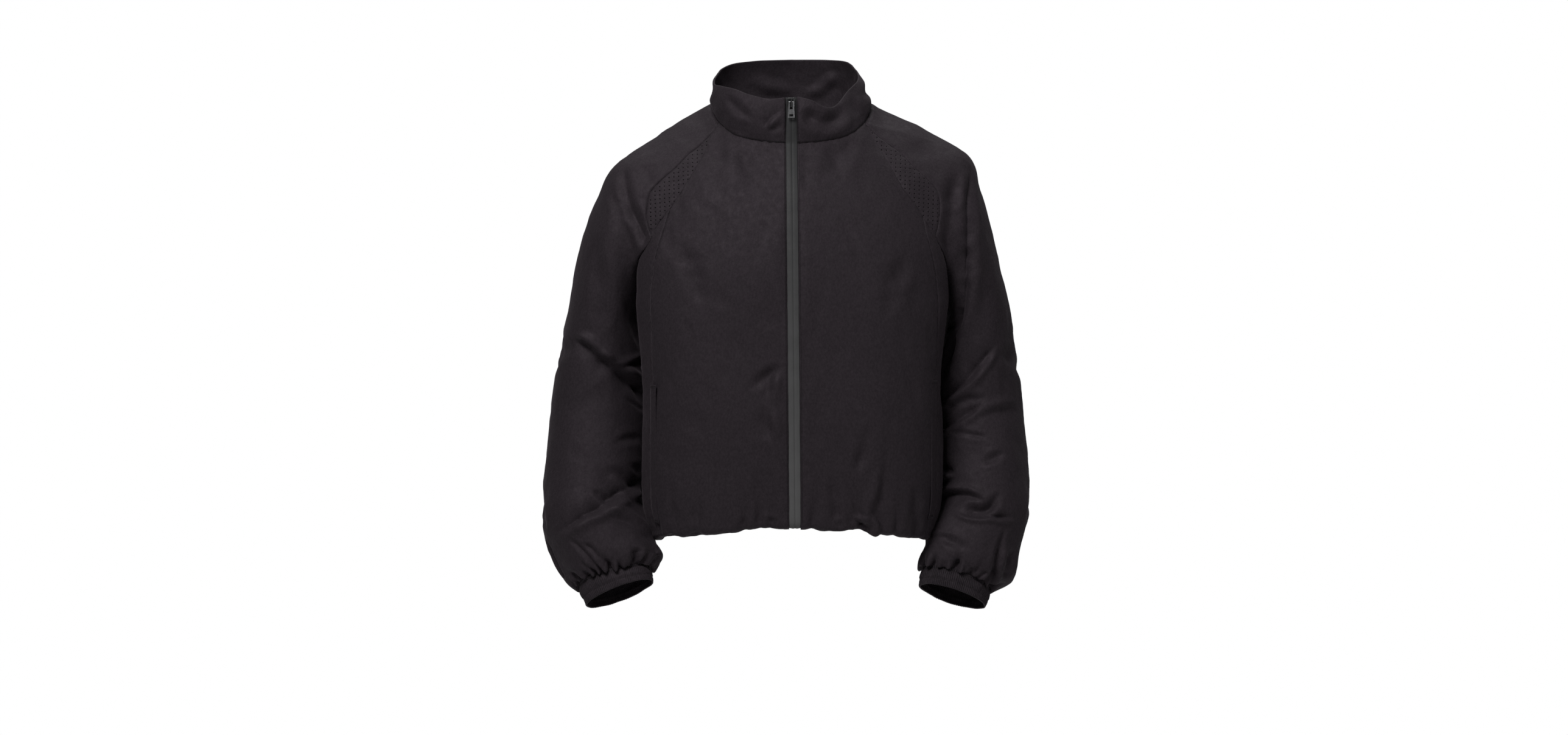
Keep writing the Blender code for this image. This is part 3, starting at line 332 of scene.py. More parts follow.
BODY_FOLDS = {
    "front": (
        (11, 2.6, 0.1, 0, 0.5, 0.0, ((-62, -404), (-63, -450), (-65, -500), (-66, -530))),
        (9, 2.6, 0.3, 1, 0.3, 0.1, ((-13, -319), (-24, -326), (-31, -346), (-33, -380), (-31, -420))),
        (9, 2.2, 0.1, 0, 0.4, 0.0, ((-30, -420), (-28, -470), (-26, -526))),
        (8, 1.8, 0.4, 0, 0.3, 0.4, ((-10, -320), (-34, -334), (-58, -356))),
        (9, 2.2, 0.2, 0, 0.4, 0.4, ((103, -392), (98, -414), (90, -440), (84, -470))),
        (9, 3.0, 0.3, -1, 0.4, 0.0, ((126, -374), (122, -420), (120, -462), (113, -500), (98, -532))),
        (8, 2.0, 0.2, 0, 0.4, 0.0, ((52, -440), (54, -480), (60, -528))),
        (12, 2.0, 0, 0, 0.4, 0.4, ((84, -12), (72, -36), (58, -66), (50, -96))),
        (12, 1.8, 0, 0, 0.4, 0.4, ((60, -24), (50, -52), (36, -88))),
        (13, 1.8, 0, 0, 0.4, 0.4, ((-66, -26), (-58, -60), (-40, -104))),
        (12, 1.8, 0, 0, 0.4, 0.4, ((-92, -4), (-96, -50), (-104, -100))),
        (14, 1.8, 0, 0, 0.4, 0.4, ((-150, -150), (-128, -200), (-110, -262))),
        (14, 1.8, 0, 0, 0.4, 0.4, ((158, -160), (134, -214), (118, -270))),
        (10, 2.4, 0.1, 0, 0.4, 0.0, ((-118, -452), (-122, -490), (-124, -540))),
        (9, 2.4, 0.1, 0, 0.4, 0.0, ((-154, -462), (-156, -500), (-154, -544))),
        (9, 2.2, 0.2, 0, 0.4, 0.0, ((158, -470), (160, -506), (160, -544))),
    ),
    "left": (
        (12, 3.5, 0.3, 1, 0.3, 0.3, ((-52, -300), (-20, -318), (16, -350))),
        (10, 3, 0.1, 0, 0.4, 0.0, ((6, -440), (8, -490), (4, -544))),
        (9, 3, 0.1, 0, 0.4, 0.0, ((-38, -452), (-34, -500), (-36, -544))),
    ),
    "right": (
        (12, 3.5, 0.3, -1, 0.3, 0.3, ((-50, -290), (-18, -310), (20, -340))),
        (10, 3, 0.1, 0, 0.4, 0.0, ((10, -436), (6, -486), (8, -544))),
        (9, 3, 0.1, 0, 0.4, 0.0, ((-36, -446), (-38, -498), (-34, -544))),
    ),
    "back": (
        (15, 5, 0.2, 0, 0.3, 0.4, ((-156, -150), (-120, -176), (-78, -190), (-36, -196))),
        (15, 5, 0.2, 0, 0.3, 0.4, ((158, -142), (124, -170), (84, -188), (38, -190))),
        (14, 4, 0.1, 0, 0.4, 0.4, ((-150, -210), (-132, -280), (-124, -350))),
        (14, 4, 0.1, 0, 0.4, 0.4, ((152, -204), (136, -270), (128, -338))),
        (13, 3, 0, 0, 0.4, 0.4, ((-60, -240), (-50, -310), (-54, -380))),
        (13, 3, 0, 0, 0.4, 0.4, ((48, -250), (56, -320), (52, -400))),
        (11, 4, 0.1, 0, 0.4, 0.0, ((-112, -420), (-106, -480), (-110, -536))),
        (11, 4, 0.1, 0, 0.4, 0.0, ((-58, -440), (-60, -490), (-54, -534))),
        (11, 4, 0.1, 0, 0.4, 0.0, ((6, -424), (2, -480), (6, -532))),
        (11, 4, 0.1, 0, 0.4, 0.0, ((70, -446), (66, -490), (70, -534))),
        (11, 4, 0.1, 0, 0.4, 0.0, ((124, -424), (120, -480), (122, -538))),
    ),
}
COLLAR_FOLDS = {
    "front": (
        (5, 3, 0.9, 1, 0.3, 0.3, ((-14, 18), (-24, 10), (-33, 1), (-36, -10))),
        (6, 1.8, 0.5, 0, 0.3, 0.3, ((-36, -8), (-28, -10), (-18, -6), (-10, 2))),
        (8, 2.5, 0.2, 0, 0.4, 0.4, ((-88, 36), (-70, 18), (-48, 2))),
        (12, 5.5, 0.2, 0, 0.25, 0.3, ((12, 20), (26, 8), (42, 1), (58, 5), (72, 20))),
        (8, 1.4, 0.3, 0, 0.3, 0.4, ((24, 24), (22, 8), (14, -8))),
        (8, 2.5, 0.1, 0, 0.3, 0.3, ((76, 40), (84, 22), (86, 6))),
    ),
    "left": (
        (9, 3, 0.2, 0, 0.3, 0.3, ((-34, 40), (-8, 52), (22, 50))),
        (8, 2.5, 0.2, 0, 0.3, 0.3, ((10, 76), (26, 62), (40, 44))),
    ),
    "right": (
        (9, 3, 0.2, 0, 0.3, 0.3, ((-38, 36), (-10, 50), (20, 56))),
        (8, 2.5, 0.2, 0, 0.3, 0.3, ((8, 78), (24, 64), (38, 46))),
    ),
    "back": (
        (10, 3, 0.1, 0, 0.3, 0.3, ((-58, 74), (-30, 62), (8, 58))),
        (9, 2.5, 0.1, 0, 0.3, 0.3, ((20, 52), (46, 64), (64, 84))),
    ),
}

# ---- the cloth's own shapes ----
FACING = 0.08  # a view shows cloth that turns at least this far towards it
FACING_FULL = 0.42  # folds have their whole depth from here on
FOLD_GAIN = {"sleeve": 1.3, "body": 1.6, "collar": 1.25}
CHAIN_STEP = 0.8
CHAIN_LEAST = 6
CHAIN_SMOOTHING = 8
DRAWN_STEP = 2.0
CREASE_REACH = 3.2  # widths of a fold within which it is worked out
CREASE_BLOCK = 4000  # points at a time
CREASE_UNEVEN = (0.22, 30.0)  # share of its depth, and the length of the swells
RIDGE = {"at": 1.25, "spread": 0.75, "one_side": 0.75, "both_sides": 0.3}  # beside a fold
HOLD = 9.0  # folds fade this near a seam to another form
COLLAR_HOLD = {"first_row": 5.0, "first_column": 4.0, "last_column": 4.0}
CUFF_HOLD = 4.0
SEAM_DIP = 0.9
SEAM_DIP_WIDTH = 1.5
PUCKER = 0.3
PUCKER_LENGTH = 9.0
PUCKER_REACH = 6.0
ZIP_SEAM = {"dip": 0.35, "width": 0.7, "pucker": 0.18}
SIDE_FRONT_SEAMS = {"first_column": "princess", "last_column": "side", "last_row": "raglan"}
BACK_SEAMS = {"first_column": "side", "last_column": "side", "last_row": "back_top"}
SEEDS = {  # of what is uneven: the puckers of each seam, the folds, the gathers and the swells
    "sleeve_top": 31, "insert_inner": 33, "raglan": 41, "princess": 42, "zip": 43, "side": 44,
    "back_top": 45, "neck": 51, "body": 100, "sleeve": 200, "collar": 300, "hem_marks": 60,
    "hem_pleats": 61, "cuff_pleats": 80, "drift": 71, "ribs": 72, "cuff": 73, "casing": 77, "tape": 5,
}
LAP = {"past": 3.2, "under": 0.8}  # of cloth that goes on past a seam, under the next piece
RUMPLES = Table(  # all over: the length of the swells, and the heights of soft and of creased ones
    "length soft creased", (95, 1.1, 0.0), (34, 0.25, 0.35), (14, 0.0, 0.12),
)
WAVE_COUNT = 20

HEM_MARKS = {  # pleats that the hem's front shows, and how strong each is
    LEFT: Table(
        "x strength",
        (13, 0.5), (26, 0.8), (42, 1.6), (62, 1.0), (84, 0.5), (122, 0.6), (152, 0.4), (180, 0.5),
    ),
    RIGHT: Table(
        "x strength",
        (26, 1.0), (50, 0.4), (76, 0.6), (90, 1.3), (118, 0.5), (137, 0.9), (165, 0.4), (186, 0.5),
    ),
}
HEM_PLEAT = {"depth": 3.4, "length": 30.0, "wide": (2.6, 4.6), "pinch": 2.6, "spacing": (22.0, 46.0)}
PLEAT_LEAN = 0.28
PLEAT_SPREAD = 1.3  # how much wider a pleat is at its far end
PLEAT_SWELL = 0.35  # share of a pleat's depth by which the cloth stands up beside it
PLEAT_SWELL_AT = 2.6  # widths of the pleat from its middle
PLEAT_SWELL_WIDE = 1.6
PLEAT_STRENGTH = (0.4, 1.3)
PINCH_MOST = 1.4
HEM_SCALLOP = 2.6
HEM_SCALLOP_REACH = 14.0
HEM_PINCH = 0.45  # of a pleat that keeps the hem's height
HEM_MARKS_END = SIDE_PLACE - 0.09  # the hem's pleats are placed by a rule from here on
HEM_ZIP_CLEAR = 9.0
HEM_FLAT = 0.85  # how much of a pleat is lost at the bottom of the hem's fold
CUFF_PLEAT = {"depth": 3.2, "length": 15.0, "wide": (1.5, 3.2), "pinch": 1.4, "spacing": (7.0, 15.0)}
LOBE_DROP = 8.0
LOBE_SWELL = 2.2
LOBE_START = 4.0
LOBE_END = 15.0
CUFF_CLEAR = 2.0
SLEEVE_FILL = Table("height reach by", (-410, 110, 5.5), (-538, 31, 20.0))  # the sleeve leans on the body
CORNER_PLACE = 0.42  # the body is drawn in at its front corner, under the sleeve and at the hem
CORNER_REACH = 0.10
CORNER_IN = Table("height by", (-552, 18), (-532, 11), (-510, 7), (-330, 7), (-235, 0))

RIB_PITCH = 2.5
RIB_HEIGHT = {LEFT: 0.32, RIGHT: 0.6}
RIB_DRIFT = 0.9  # radians
RIB_DRIFT_LENGTH = 16.0
RIB_UNEVEN = 0.35
RIB_UNEVEN_LENGTH = 9.0
CUFF_STITCHES = (0.14, 0.66)  # shares of the cuff's height
CUFF_PINCH = {"reach": 0.045, "flat": 0.35, "dip": 0.55}  # at the rows of stitches
CUFF_PUFF = 0.8
CUFF_SWELL = 0.5
CUFF_SWELL_LENGTH = 22.0
CUFF_WALL = 1.6
CUFF_BARREL = 0.03

HOLE_PITCH = (6.35, 5.55)
HOLE_STEPS = 8
HOLE_RADIUS = 0.74
HOLE_MARGIN = 1.8
LATTICE_LEAN = 0.035
LATTICE_SLOPE = 0.10
LATTICE_FROM = -400.0  # y from which the lattice is laid on the insert
LATTICE_NEAR = -80.0  # y near which its points lie that miss the insert
LATTICE_CLEAR = 0.4  # steps of the lattice to the seams

COLLAR_SKIN = (0.5, 1.2)  # half the collar's thickness at its foot and at its turned rim
COLLAR_END = 1.5  # the collar thins out this near its front ends
RIM_TURN = np.radians((22, 55, 90, 125, 158))

TAPE_PROFILE = Table(  # across one tape from the middle of the zip: the sunk line, the swell, the edge
    "offset lift",
    (0.0, -0.3), (0.22, 0.0), (0.5, 0.3), (1.2, 0.5), (2.4, 0.62), (3.8, 0.5), (5.2, 0.2), (6.6, -0.1),
    (TAPE_WIDTH, -0.3),
)
TAPE_SINK = 0.25
TAPE_SWELL = 0.25
TAPE_SWELL_LENGTH = 26.0
TAPE_HEM_ANGLE = 75  # the tape ends this far round the hem's fold
TAPE_PAINTED_REFLECTION = (-0.50, 0.02)  # metres: between these heights, painted reflection makes the film lighter below and darker towards the top

WELT_LIFT = (0.2, 1.3)  # off the panel, at the seam and at the welt's free edge
TACK_ROWS = (1, 2, -3, -2)
TACK_RAISE = 0.55

ZIP_SWELL = 0.35
ZIP_SWELL_REACH = 9.0
ZIP_SUNK_REACH = 0.8
ZIP_HOLD = 6.0
CASING_CRUMPLE = 0.8
CASING_CRUMPLE_LENGTH = 10.0
STITCH_PITCH = 2.1
STITCH_LENGTH = 1.3
STITCH_WIDTH = 0.7
STITCH_RAISE = {"front": 0.15, "collar": 0.2, "neck": 0.1, "cuff": 0.1}  # off the cloth's face
ZIP_STITCH = 2.0  # from the zip's edge
NECK_STITCH = 1.8

# ---- cuts ----
CUTS = {  # each piece as it is cut: width and length in metres, area in square metres, how it is held
    "front": (0.24, 0.57, 0.112, "hung"),
    "side_front": (0.15, 0.47, 0.046, "hung"),
    "back": (0.66, 0.62, 0.300, "hung"),
    "sleeve": (0.50, 0.68, 0.275, "hung"),
    "insert": (0.055, 0.20, 0.0062, "hung"),
    "collar": (0.60, 0.125, 0.068, "hung"),
    "cuff": (0.36, 0.030, None, "gathered"),
    "hem_casing": (1.10, 0.027, None, "gathered"),
    "pocket_welt": (0.015, 0.184, None, "hung"),
    "zip_tape": (0.010, 0.60, None, "hung"),
}


# ---- curves ----
def between(u, span, here, there, leave, arrive):
    """A share u of the way between two knots, from their values and slopes."""
    start = (1 + 2 * u) * (1 - u) ** 2 * here + u * (1 - u) ** 2 * span * leave
    end = u**2 * (3 - 2 * u) * there + u**2 * (u - 1) * span * arrive
    return start + end


def smooth(knots, values, at):
    """Smooth curve through the rows of values, one at each knot."""
    knots = np.asarray(knots, float)
    values = np.asarray(values, float)
    if knots[0] > knots[-1]:
        knots = knots[::-1]
        values = values[::-1]
    slopes = np.gradient(values, knots, axis=0)
    at = np.clip(np.asarray(at, float), knots[0], knots[-1])
    row = np.clip(np.searchsorted(knots, at) - 1, 0, len(knots) - 2)
    span = knots[row + 1] - knots[row]
    u = (at - knots[row]) / span
    if values.ndim == 2:
        span = span[..., None]
        u = u[..., None]
    return between(u, span, values[row], values[row + 1], slopes[row], slopes[row + 1])


def length_along(points, axis=0):
    """Distance from the first point to each point along an axis of a grid, or along a line."""
    steps = np.linalg.norm(np.diff(points, axis=axis), axis=-1)
    return np.insert(np.cumsum(steps, axis=axis), 0, 0.0, axis=axis)


def bell(t):
    """1 at 0, and fading to both sides."""
    return np.exp(-(t**2))


def arch(share):
    """1 in the middle and 0 at both ends."""
    return 4 * share * (1 - share)


def read_at(distance, run, rows):
    """The rows' values where the run along them reaches a distance."""
    return np.stack([np.interp(distance, run, column) for column in rows.T], -1)


def even_chain(points, step):
    """Points about a step apart on the smooth curve through points."""
    run = length_along(points)
    count = max(int(run[-1] / step), CHAIN_LEAST)
    return smooth(run, points, np.linspace(0, run[-1], count + 1))


def unit(vectors):
    return vectors / np.maximum(np.linalg.norm(vectors, axis=-1, keepdims=True), 1e-9)


def waves(points, length, seed):
    """An uneven swell, about 1 high, whose waves have about that length."""
    random = np.random.default_rng(seed)
    ways = unit(random.normal(size=(WAVE_COUNT, 3)))
    lengths = length * random.uniform(0.6, 1.6, WAVE_COUNT)
    turns = points @ (2 * np.pi * ways / lengths[:, None]).T
    return np.sin(turns + random.uniform(0, 2 * np.pi, WAVE_COUNT)).sum(-1) / np.sqrt(WAVE_COUNT / 2)


# ---- the torso ----
def torso_half(place, height):
    """x and y on the +X half of the body."""
    place, height = np.broadcast_arrays(np.asarray(place, float), np.asarray(height, float))
    here = {name: smooth(BODY["height"], BODY[name], height) for name in BODY.names[1:]}
    here["front_x"] = here["back_x"] = np.zeros_like(here["side_x"])
    x, y = ([here[f"{name}_{axis}"] for name in SECTION] for axis in "xy")
    return along_section(x, place, -1), along_section(y, place, 1)


def along_section(points, place, mirrored):
    """One coordinate round a half-section, smooth across the centre planes."""
    points = np.stack(points, -1)
    slopes = np.empty_like(points)
    slopes[..., 1:-1] = (points[..., 2:] - points[..., :-2]) / (PLACES[2:] - PLACES[:-2])
    slopes[..., 0] = (points[..., 1] - mirrored * points[..., 1]) / (2 * PLACES[1])
    last = PLACES[-1] - PLACES[-2]
    slopes[..., -1] = (mirrored * points[..., -2] - points[..., -2]) / (2 * last)
    row = np.clip(np.searchsorted(PLACES, place) - 1, 0, len(PLACES) - 2)
    span = PLACES[row + 1] - PLACES[row]
    u = (place - PLACES[row]) / span
    ends = (np.take_along_axis(values, row[..., None] + step, -1)[..., 0]
            for values in (points, slopes) for step in (0, 1))
    return between(u, span, *ends)


def torso(side, seam_points):
    """Points on the body for (place, height)."""
    x, y = torso_half(seam_points[..., 0], seam_points[..., 1])
    return np.stack([side * x, y, seam_points[..., 1]], -1)


def place_at(x, height):
    """The place in front where the half-section reaches x."""
    x, height = np.broadcast_arrays(np.asarray(x, float), np.asarray(height, float))
    low = np.zeros_like(x)
    high = np.full_like(x, PLACES[2])
    for _ in range(HALVINGS):
        middle = (low + high) / 2
        short = torso_half(middle, height)[0] < x
        low = np.where(short, middle, low)
        high = np.where(short, high, middle)
    return (low + high) / 2


def outwards(points):
    """Level direction away from the body's axis."""
    return unit(points * BODY_ROUND)


def hem_height(place):
    return smooth(HEM["place"], HEM["height"], place)


def above_hem(place):
    """Where the cloth starts to roll under."""
    return hem_height(place) + HEM_ROLL


def zip_middle(height):
    bottom = HEM["height"][0]
    share = (np.asarray(height, float) - bottom) / (ZIP_TOP - bottom)
    return ZIP_MIDDLE_BOTTOM + share * (ZIP_MIDDLE_TOP - ZIP_MIDDLE_BOTTOM)


def zip_edge(side, height):
    return place_at(side * zip_middle(height) + ZIP_HALF, height)


# ---- seams as (place, height) ----
def seam(places, heights):
    return np.stack(np.broadcast_arrays(places, heights), -1)


def seen_x(table, side):
    return table["left_x" if side == LEFT else "right_x"]


def raglan_place(side, height):
    places = place_at(seen_x(RAGLAN, side), RAGLAN["height"])
    heights = np.concatenate([RAGLAN["height"], RAGLAN_HIDDEN["height"]])
    return smooth(heights, np.concatenate([places, RAGLAN_HIDDEN["place"]]), height)


def princess_place(side, height):
    top = PRINCESS_TOP[side]
    heights = np.concatenate([[top], PRINCESS["height"]])
    lower = place_at(seen_x(PRINCESS, side), PRINCESS["height"])
    return smooth(heights, np.concatenate([[raglan_place(side, top)], lower]), height)


def even_seam(side, place_of, start, end, count):
    """A seam parted into count equal lengths."""
    heights = np.linspace(start, end, SEAM_POINTS)
    run = length_along(torso(side, seam(place_of(heights), heights)))
    heights = np.interp(np.linspace(0, run[-1], count + 1), run, heights)
    return seam(place_of(heights), heights)


def raglan_seam(side, start, end, count):
    return even_seam(side, lambda height: raglan_place(side, height), start, end, count)


def back_raglan_seam(side):
    def place_of(height):
        return smooth(BACK_RAGLAN["height"], BACK_RAGLAN["place"], height)

    return even_seam(side, place_of, UNDERARM_HEIGHT, BACK_NECK_HEIGHT, BACK_RAGLAN_COLUMNS)


def neck_seam(side):
    """From the zip to the front raglan seam."""
    edge = side * zip_middle(NECK["height"][0]) + ZIP_HALF
    xs = np.linspace(edge, NECK_FRONT_X, NECK_COLUMNS + 1)
    heights = smooth(NECK["x"], NECK["height"], xs)
    return seam(place_at(xs, heights), heights)


def back_neck_seam():
    """From the back raglan seam to the centre back."""
    places = np.linspace(BACK_RAGLAN["place"][0], 1.0, BACK_NECK_COLUMNS + 1)
    heights = np.full_like(places, BACK_NECK_HEIGHT)
    for _ in range(NECK_ROUNDS):
        heights = smooth(BACK_NECK["x"], BACK_NECK["height"], torso_half(places, heights)[0])
    heights[0] = BACK_NECK_HEIGHT
    return seam(places, heights)


def shoulder_neck(side):
    """The neck edge of a sleeve, front raglan seam to back raglan seam."""
    before = torso(side, neck_seam(side)[[-1 - NECK_COLUMNS // 5, -1]])
    after = torso(side, back_neck_seam()[[0, BACK_NECK_COLUMNS // 3]])
    middle = np.array(SHOULDER_POINT) * (side, 1, 1)
    route = np.array([before[0], before[1], middle, after[0], after[1]])
    way = length_along(route)
    half = SHOULDER_COLUMNS // 2
    at = np.interp(np.arange(2 * half + 1), (0, half, 2 * half), way[1:4])
    return smooth(way, route, at)


# ---- grids of the body ----
def spread(height, centre):
    wide = BODY["quarter_x"] if centre == 0.0 else BODY["back_quarter_x"]
    return smooth(BODY["height"], wide, height)


def panel(bottom, top, start, end, centre):
    """Grid of (place, height) that fills four seams, with places as wide as the cloth there."""
    edges = [np.stack([(e[:, 0] - centre) * spread(e[:, 1], centre), e[:, 1]], -1)
             for e in (bottom, top, start, end)]
    bottom, top, start, end = edges
    across = np.linspace(0, 1, len(bottom))[None, :, None]
    up = np.linspace(0, 1, len(start))[:, None, None]
    rows = (1 - up) * bottom[None] + up * top[None]
    columns = (1 - across) * start[:, None] + across * end[:, None]
    corners = (1 - up) * (1 - across) * bottom[0] + (1 - up) * across * bottom[-1]
    corners = corners + up * (1 - across) * top[0] + up * across * top[-1]
    grid = rows + columns - corners
    places = grid[..., 0] / spread(grid[..., 1], centre) + centre
    return np.stack([places, grid[..., 1]], -1)


def hem_row(first, last, count):
    places = np.linspace(first, last, count + 1)
    return seam(places, above_hem(places))


def side_seam():
    return seam(SIDE_PLACE, np.linspace(above_hem(SIDE_PLACE), UNDERARM_HEIGHT, BODY_ROWS + 1))


def front_grid(side):
    raglan = raglan_seam(side, NECK_FRONT_HEIGHT, PRINCESS_TOP[side], RAGLAN_COLUMNS)
    top = np.concatenate([neck_seam(side), raglan[1:]])
    zip_heights = np.linspace(above_hem(0.0), top[0, 1], BODY_ROWS + 1)
    seam_heights = np.linspace(above_hem(PRINCESS_HEM_PLACE), PRINCESS_TOP[side], BODY_ROWS + 1)
    start = seam(zip_edge(side, zip_heights), zip_heights)
    end = seam(princess_place(side, seam_heights), seam_heights)
    bottom = hem_row(start[0, 0], end[0, 0], len(top) - 1)
    start[0] = bottom[0]
    end[0] = bottom[-1]
    return panel(bottom, top, start, end, 0.0)


def side_front_grid(side, front):
    top = raglan_seam(side, PRINCESS_TOP[side], UNDERARM_HEIGHT, SIDE_COLUMNS)
    bottom = hem_row(front[0, -1, 0], SIDE_PLACE, SIDE_COLUMNS)
    return panel(bottom, top, front[:, -1], side_seam(), 0.0)


def back_half_grid(side):
    top = np.concatenate([back_raglan_seam(side), back_neck_seam()[1:]])
    middle = np.linspace(above_hem(1.0), top[-1, 1], BODY_ROWS + 1)
    bottom = hem_row(SIDE_PLACE, 1.0, len(top) - 1)
    return panel(bottom, top, side_seam(), seam(1.0, middle), 1.0)


def worn(side, grid):
    """Points on the body, drawn in at its front corner."""
    points = torso(side, grid)
    by = np.interp(grid[..., 1], CORNER_IN["height"], CORNER_IN["by"])
    points[..., 0] -= side * by * bell((grid[..., 0] - CORNER_PLACE) / CORNER_REACH)
    return points


def body_points(side, grid):
    return hem_turn(worn(side, grid), HEM_ANGLES)


def hem_turn(points, angles):
    """The points with rows that roll under below the lowest one."""
    base = points[0]
    angle = np.radians(angles)[:, None, None]
    rows = base - outwards(base) * HEM_ROLL * (1 - np.cos(angle)) - UP * HEM_ROLL * np.sin(angle)
    return np.concatenate([rows, points])


def join_halves(left, right):
    """One grid from a left half and a right half that meet at the centre back."""
    return np.concatenate([left, right[:, -2::-1]], axis=1)


# ---- cloth ----
def grid_normals(points, away, ring):
    if ring:
        across = np.roll(points, -1, axis=1) - np.roll(points, 1, axis=1)
    else:
        across = np.gradient(points, axis=1)
    normals = unit(np.cross(across, np.gradient(points, axis=0)))
    return normals * np.sign((normals * away).sum())


class Cloth:
    """One piece of cloth: a grid of points, and how far it is lifted off its form."""

    def __init__(self, name, points, away, ring=False):
        self.name = name
        self.ring = ring
        self.points = points
        self.away = away
        self.normals = grid_normals(points, away, ring)
        self.lift = np.zeros(points.shape[:2])
        self.shift = np.zeros(points.shape)
        self.free = np.ones(points.shape[:2])
        rise = length_along(points)
        span = length_along(points, axis=1)
        self.runs = {
            "first_row": rise, "last_row": rise[-1] - rise,
            "first_column": span, "last_column": span[:, -1:] - span,
        }
        self.ends = {
            "first_row": points[:1], "last_row": points[-1:],
            "first_column": points[:, :1], "last_column": points[:, -1:],
        }

    def hold(self, edge, reach=HOLD):
        """Folds of the whole form fade towards this edge."""
        self.free = self.free * (1 - bell(self.runs[edge] / reach))

    def sew(self, edge, seed, dip=SEAM_DIP, width=SEAM_DIP_WIDTH, pucker=PUCKER):
        """Draws this edge in where it is sewn, and puckers the cloth beside it."""
        run = self.runs[edge]
        ripple = waves(self.ends[edge], PUCKER_LENGTH, seed)
        self.lift += pucker * ripple * np.exp(-run / PUCKER_REACH) - dip * bell(run / width)

    def shaped(self):
        return self.points + self.normals * self.lift[..., None] + self.shift

    def shaped_normals(self):
        return grid_normals(self.shaped(), self.away, self.ring)

    def row_line(self, row, raise_by):
        """The points and normals of one row, for stitches."""
        ups = self.shaped_normals()[row]
        return self.shaped()[row] + ups * raise_by, ups


def lapped(cloth):
    """The grid with one more row past its last, under the piece that is sewn to it."""
    points = cloth.shaped()
    normals = cloth.normals[-1]
    across = unit(np.cross(np.gradient(cloth.points[-1], axis=0), normals))
    onwards = across * np.sign((across * (cloth.points[-1] - cloth.points[-3])).sum(1))[:, None]
    row = points[-1] + onwards * LAP["past"] - normals * LAP["under"]
    return np.concatenate([points, row[None]])


def seen(points, normals, view, plane):
    """Where one view shows points, on a plane for the front view, and how far they turn to it."""
    if view == "front":
        share = (plane - EYE[1]) / (points[:, 1] - EYE[1])
        flat = EYE[[0, 2]] + (points[:, [0, 2]] - EYE[[0, 2]]) * share[:, None]
        return flat, -normals[:, 1]
    if view == "back":
        return points[:, [0, 2]], normals[:, 1]
    return points[:, [1, 2]], normals[:, 0] * (LEFT if view == "left" else RIGHT)


def crease(points, normals, plane, view, width, depth, sharp, lean, start, end, line):
    """How far one fold lifts each point."""
    flat, facing = seen(points, normals, view, plane)
    shown = np.nonzero(facing > FACING)[0]
    drawn = even_chain(np.array(line, float), DRAWN_STEP)
    chain = points[[shown[((flat[shown] - spot) ** 2).sum(1).argmin()] for spot in drawn]]
    for _ in range(CHAIN_SMOOTHING):
        chain[1:-1] = (chain[:-2] + 2 * chain[1:-1] + chain[2:]) / 4
    chain = even_chain(chain, CHAIN_STEP)
    reach = CREASE_REACH * width
    inside = (points > chain.min(0) - reach) & (points < chain.max(0) + reach)
    near = np.nonzero(inside.all(1))[0]
    closest = np.empty(len(near), int)
    for first in range(0, len(near), CREASE_BLOCK):
        block = slice(first, first + CREASE_BLOCK)
        closest[block] = ((points[near[block], None] - chain) ** 2).sum(-1).argmin(1)
    off = points[near] - chain[closest]
    distance = np.linalg.norm(off, axis=1)
    way = np.gradient(chain, axis=0)[closest]
    side = lean * np.sign((np.cross(normals[near], way) * off).sum(1))
    share = closest / (len(chain) - 1)
    strength = fade(share, start) * fade(1 - share, end)
    by, length = CREASE_UNEVEN
    uneven = 1 + by * waves(chain[closest], length, int(abs(line[0][0] * 7 + line[0][1])))
    narrow = width * (0.6 + 0.4 * strength)
    valley = np.exp(-((distance / (narrow * (1 - 0.4 * side))) ** (2 - sharp)))
    ridge = bell((distance / narrow - RIDGE["at"]) / RIDGE["spread"])
    ridge *= np.where(side > 0, RIDGE["one_side"], RIDGE["both_sides"] * (lean == 0))
    lift = np.zeros(len(points))
    turned = np.clip(facing[near] / FACING_FULL, 0, 1)
    lift[near] = depth * strength * uneven * turned * (ridge - valley)
    return lift


def fade(share, over):
    """Rises smoothly from 0 to 1 over the first part of a line."""
    if over == 0:
        return np.ones_like(share)
    t = np.clip(share / over, 0, 1)
    return t * t * (3 - 2 * t)


def rumple(points, seed):
    lift = np.zeros(len(points))
    for number, (length, soft, creased) in enumerate(RUMPLES.rows):
        swell = waves(points * (1, 1, 0.7), length, seed + number)
        lift += soft * swell + creased * (0.8 - np.abs(swell))
    return lift


def fold(cloths, plane, folds, form, seed):
    """Lays folds on pieces of cloth that share one form."""
    points = np.concatenate([c.points.reshape(-1, 3) for c in cloths])
    normals = np.concatenate([c.normals.reshape(-1, 3) for c in cloths])
    lift = rumple(points, seed)
    for view, rows in folds.items():
        for row in rows:
            lift += FOLD_GAIN[form] * crease(points, normals, plane, view, *row)
    for c in cloths:
        own, lift = np.split(lift, [c.lift.size])
        c.lift += own.reshape(c.lift.shape) * c.free


# ---- gathered edges ----
def marks_along(first, last, spacing, seed):
    """Uneven places for pleats, and uneven strengths."""
    random = np.random.default_rng(seed)
    marks = [first + random.uniform(*spacing) / 2]
    while marks[-1] < last - spacing[0]:
        marks.append(marks[-1] + random.uniform(*spacing))
    return np.array(marks), random.uniform(*PLEAT_STRENGTH, len(marks))


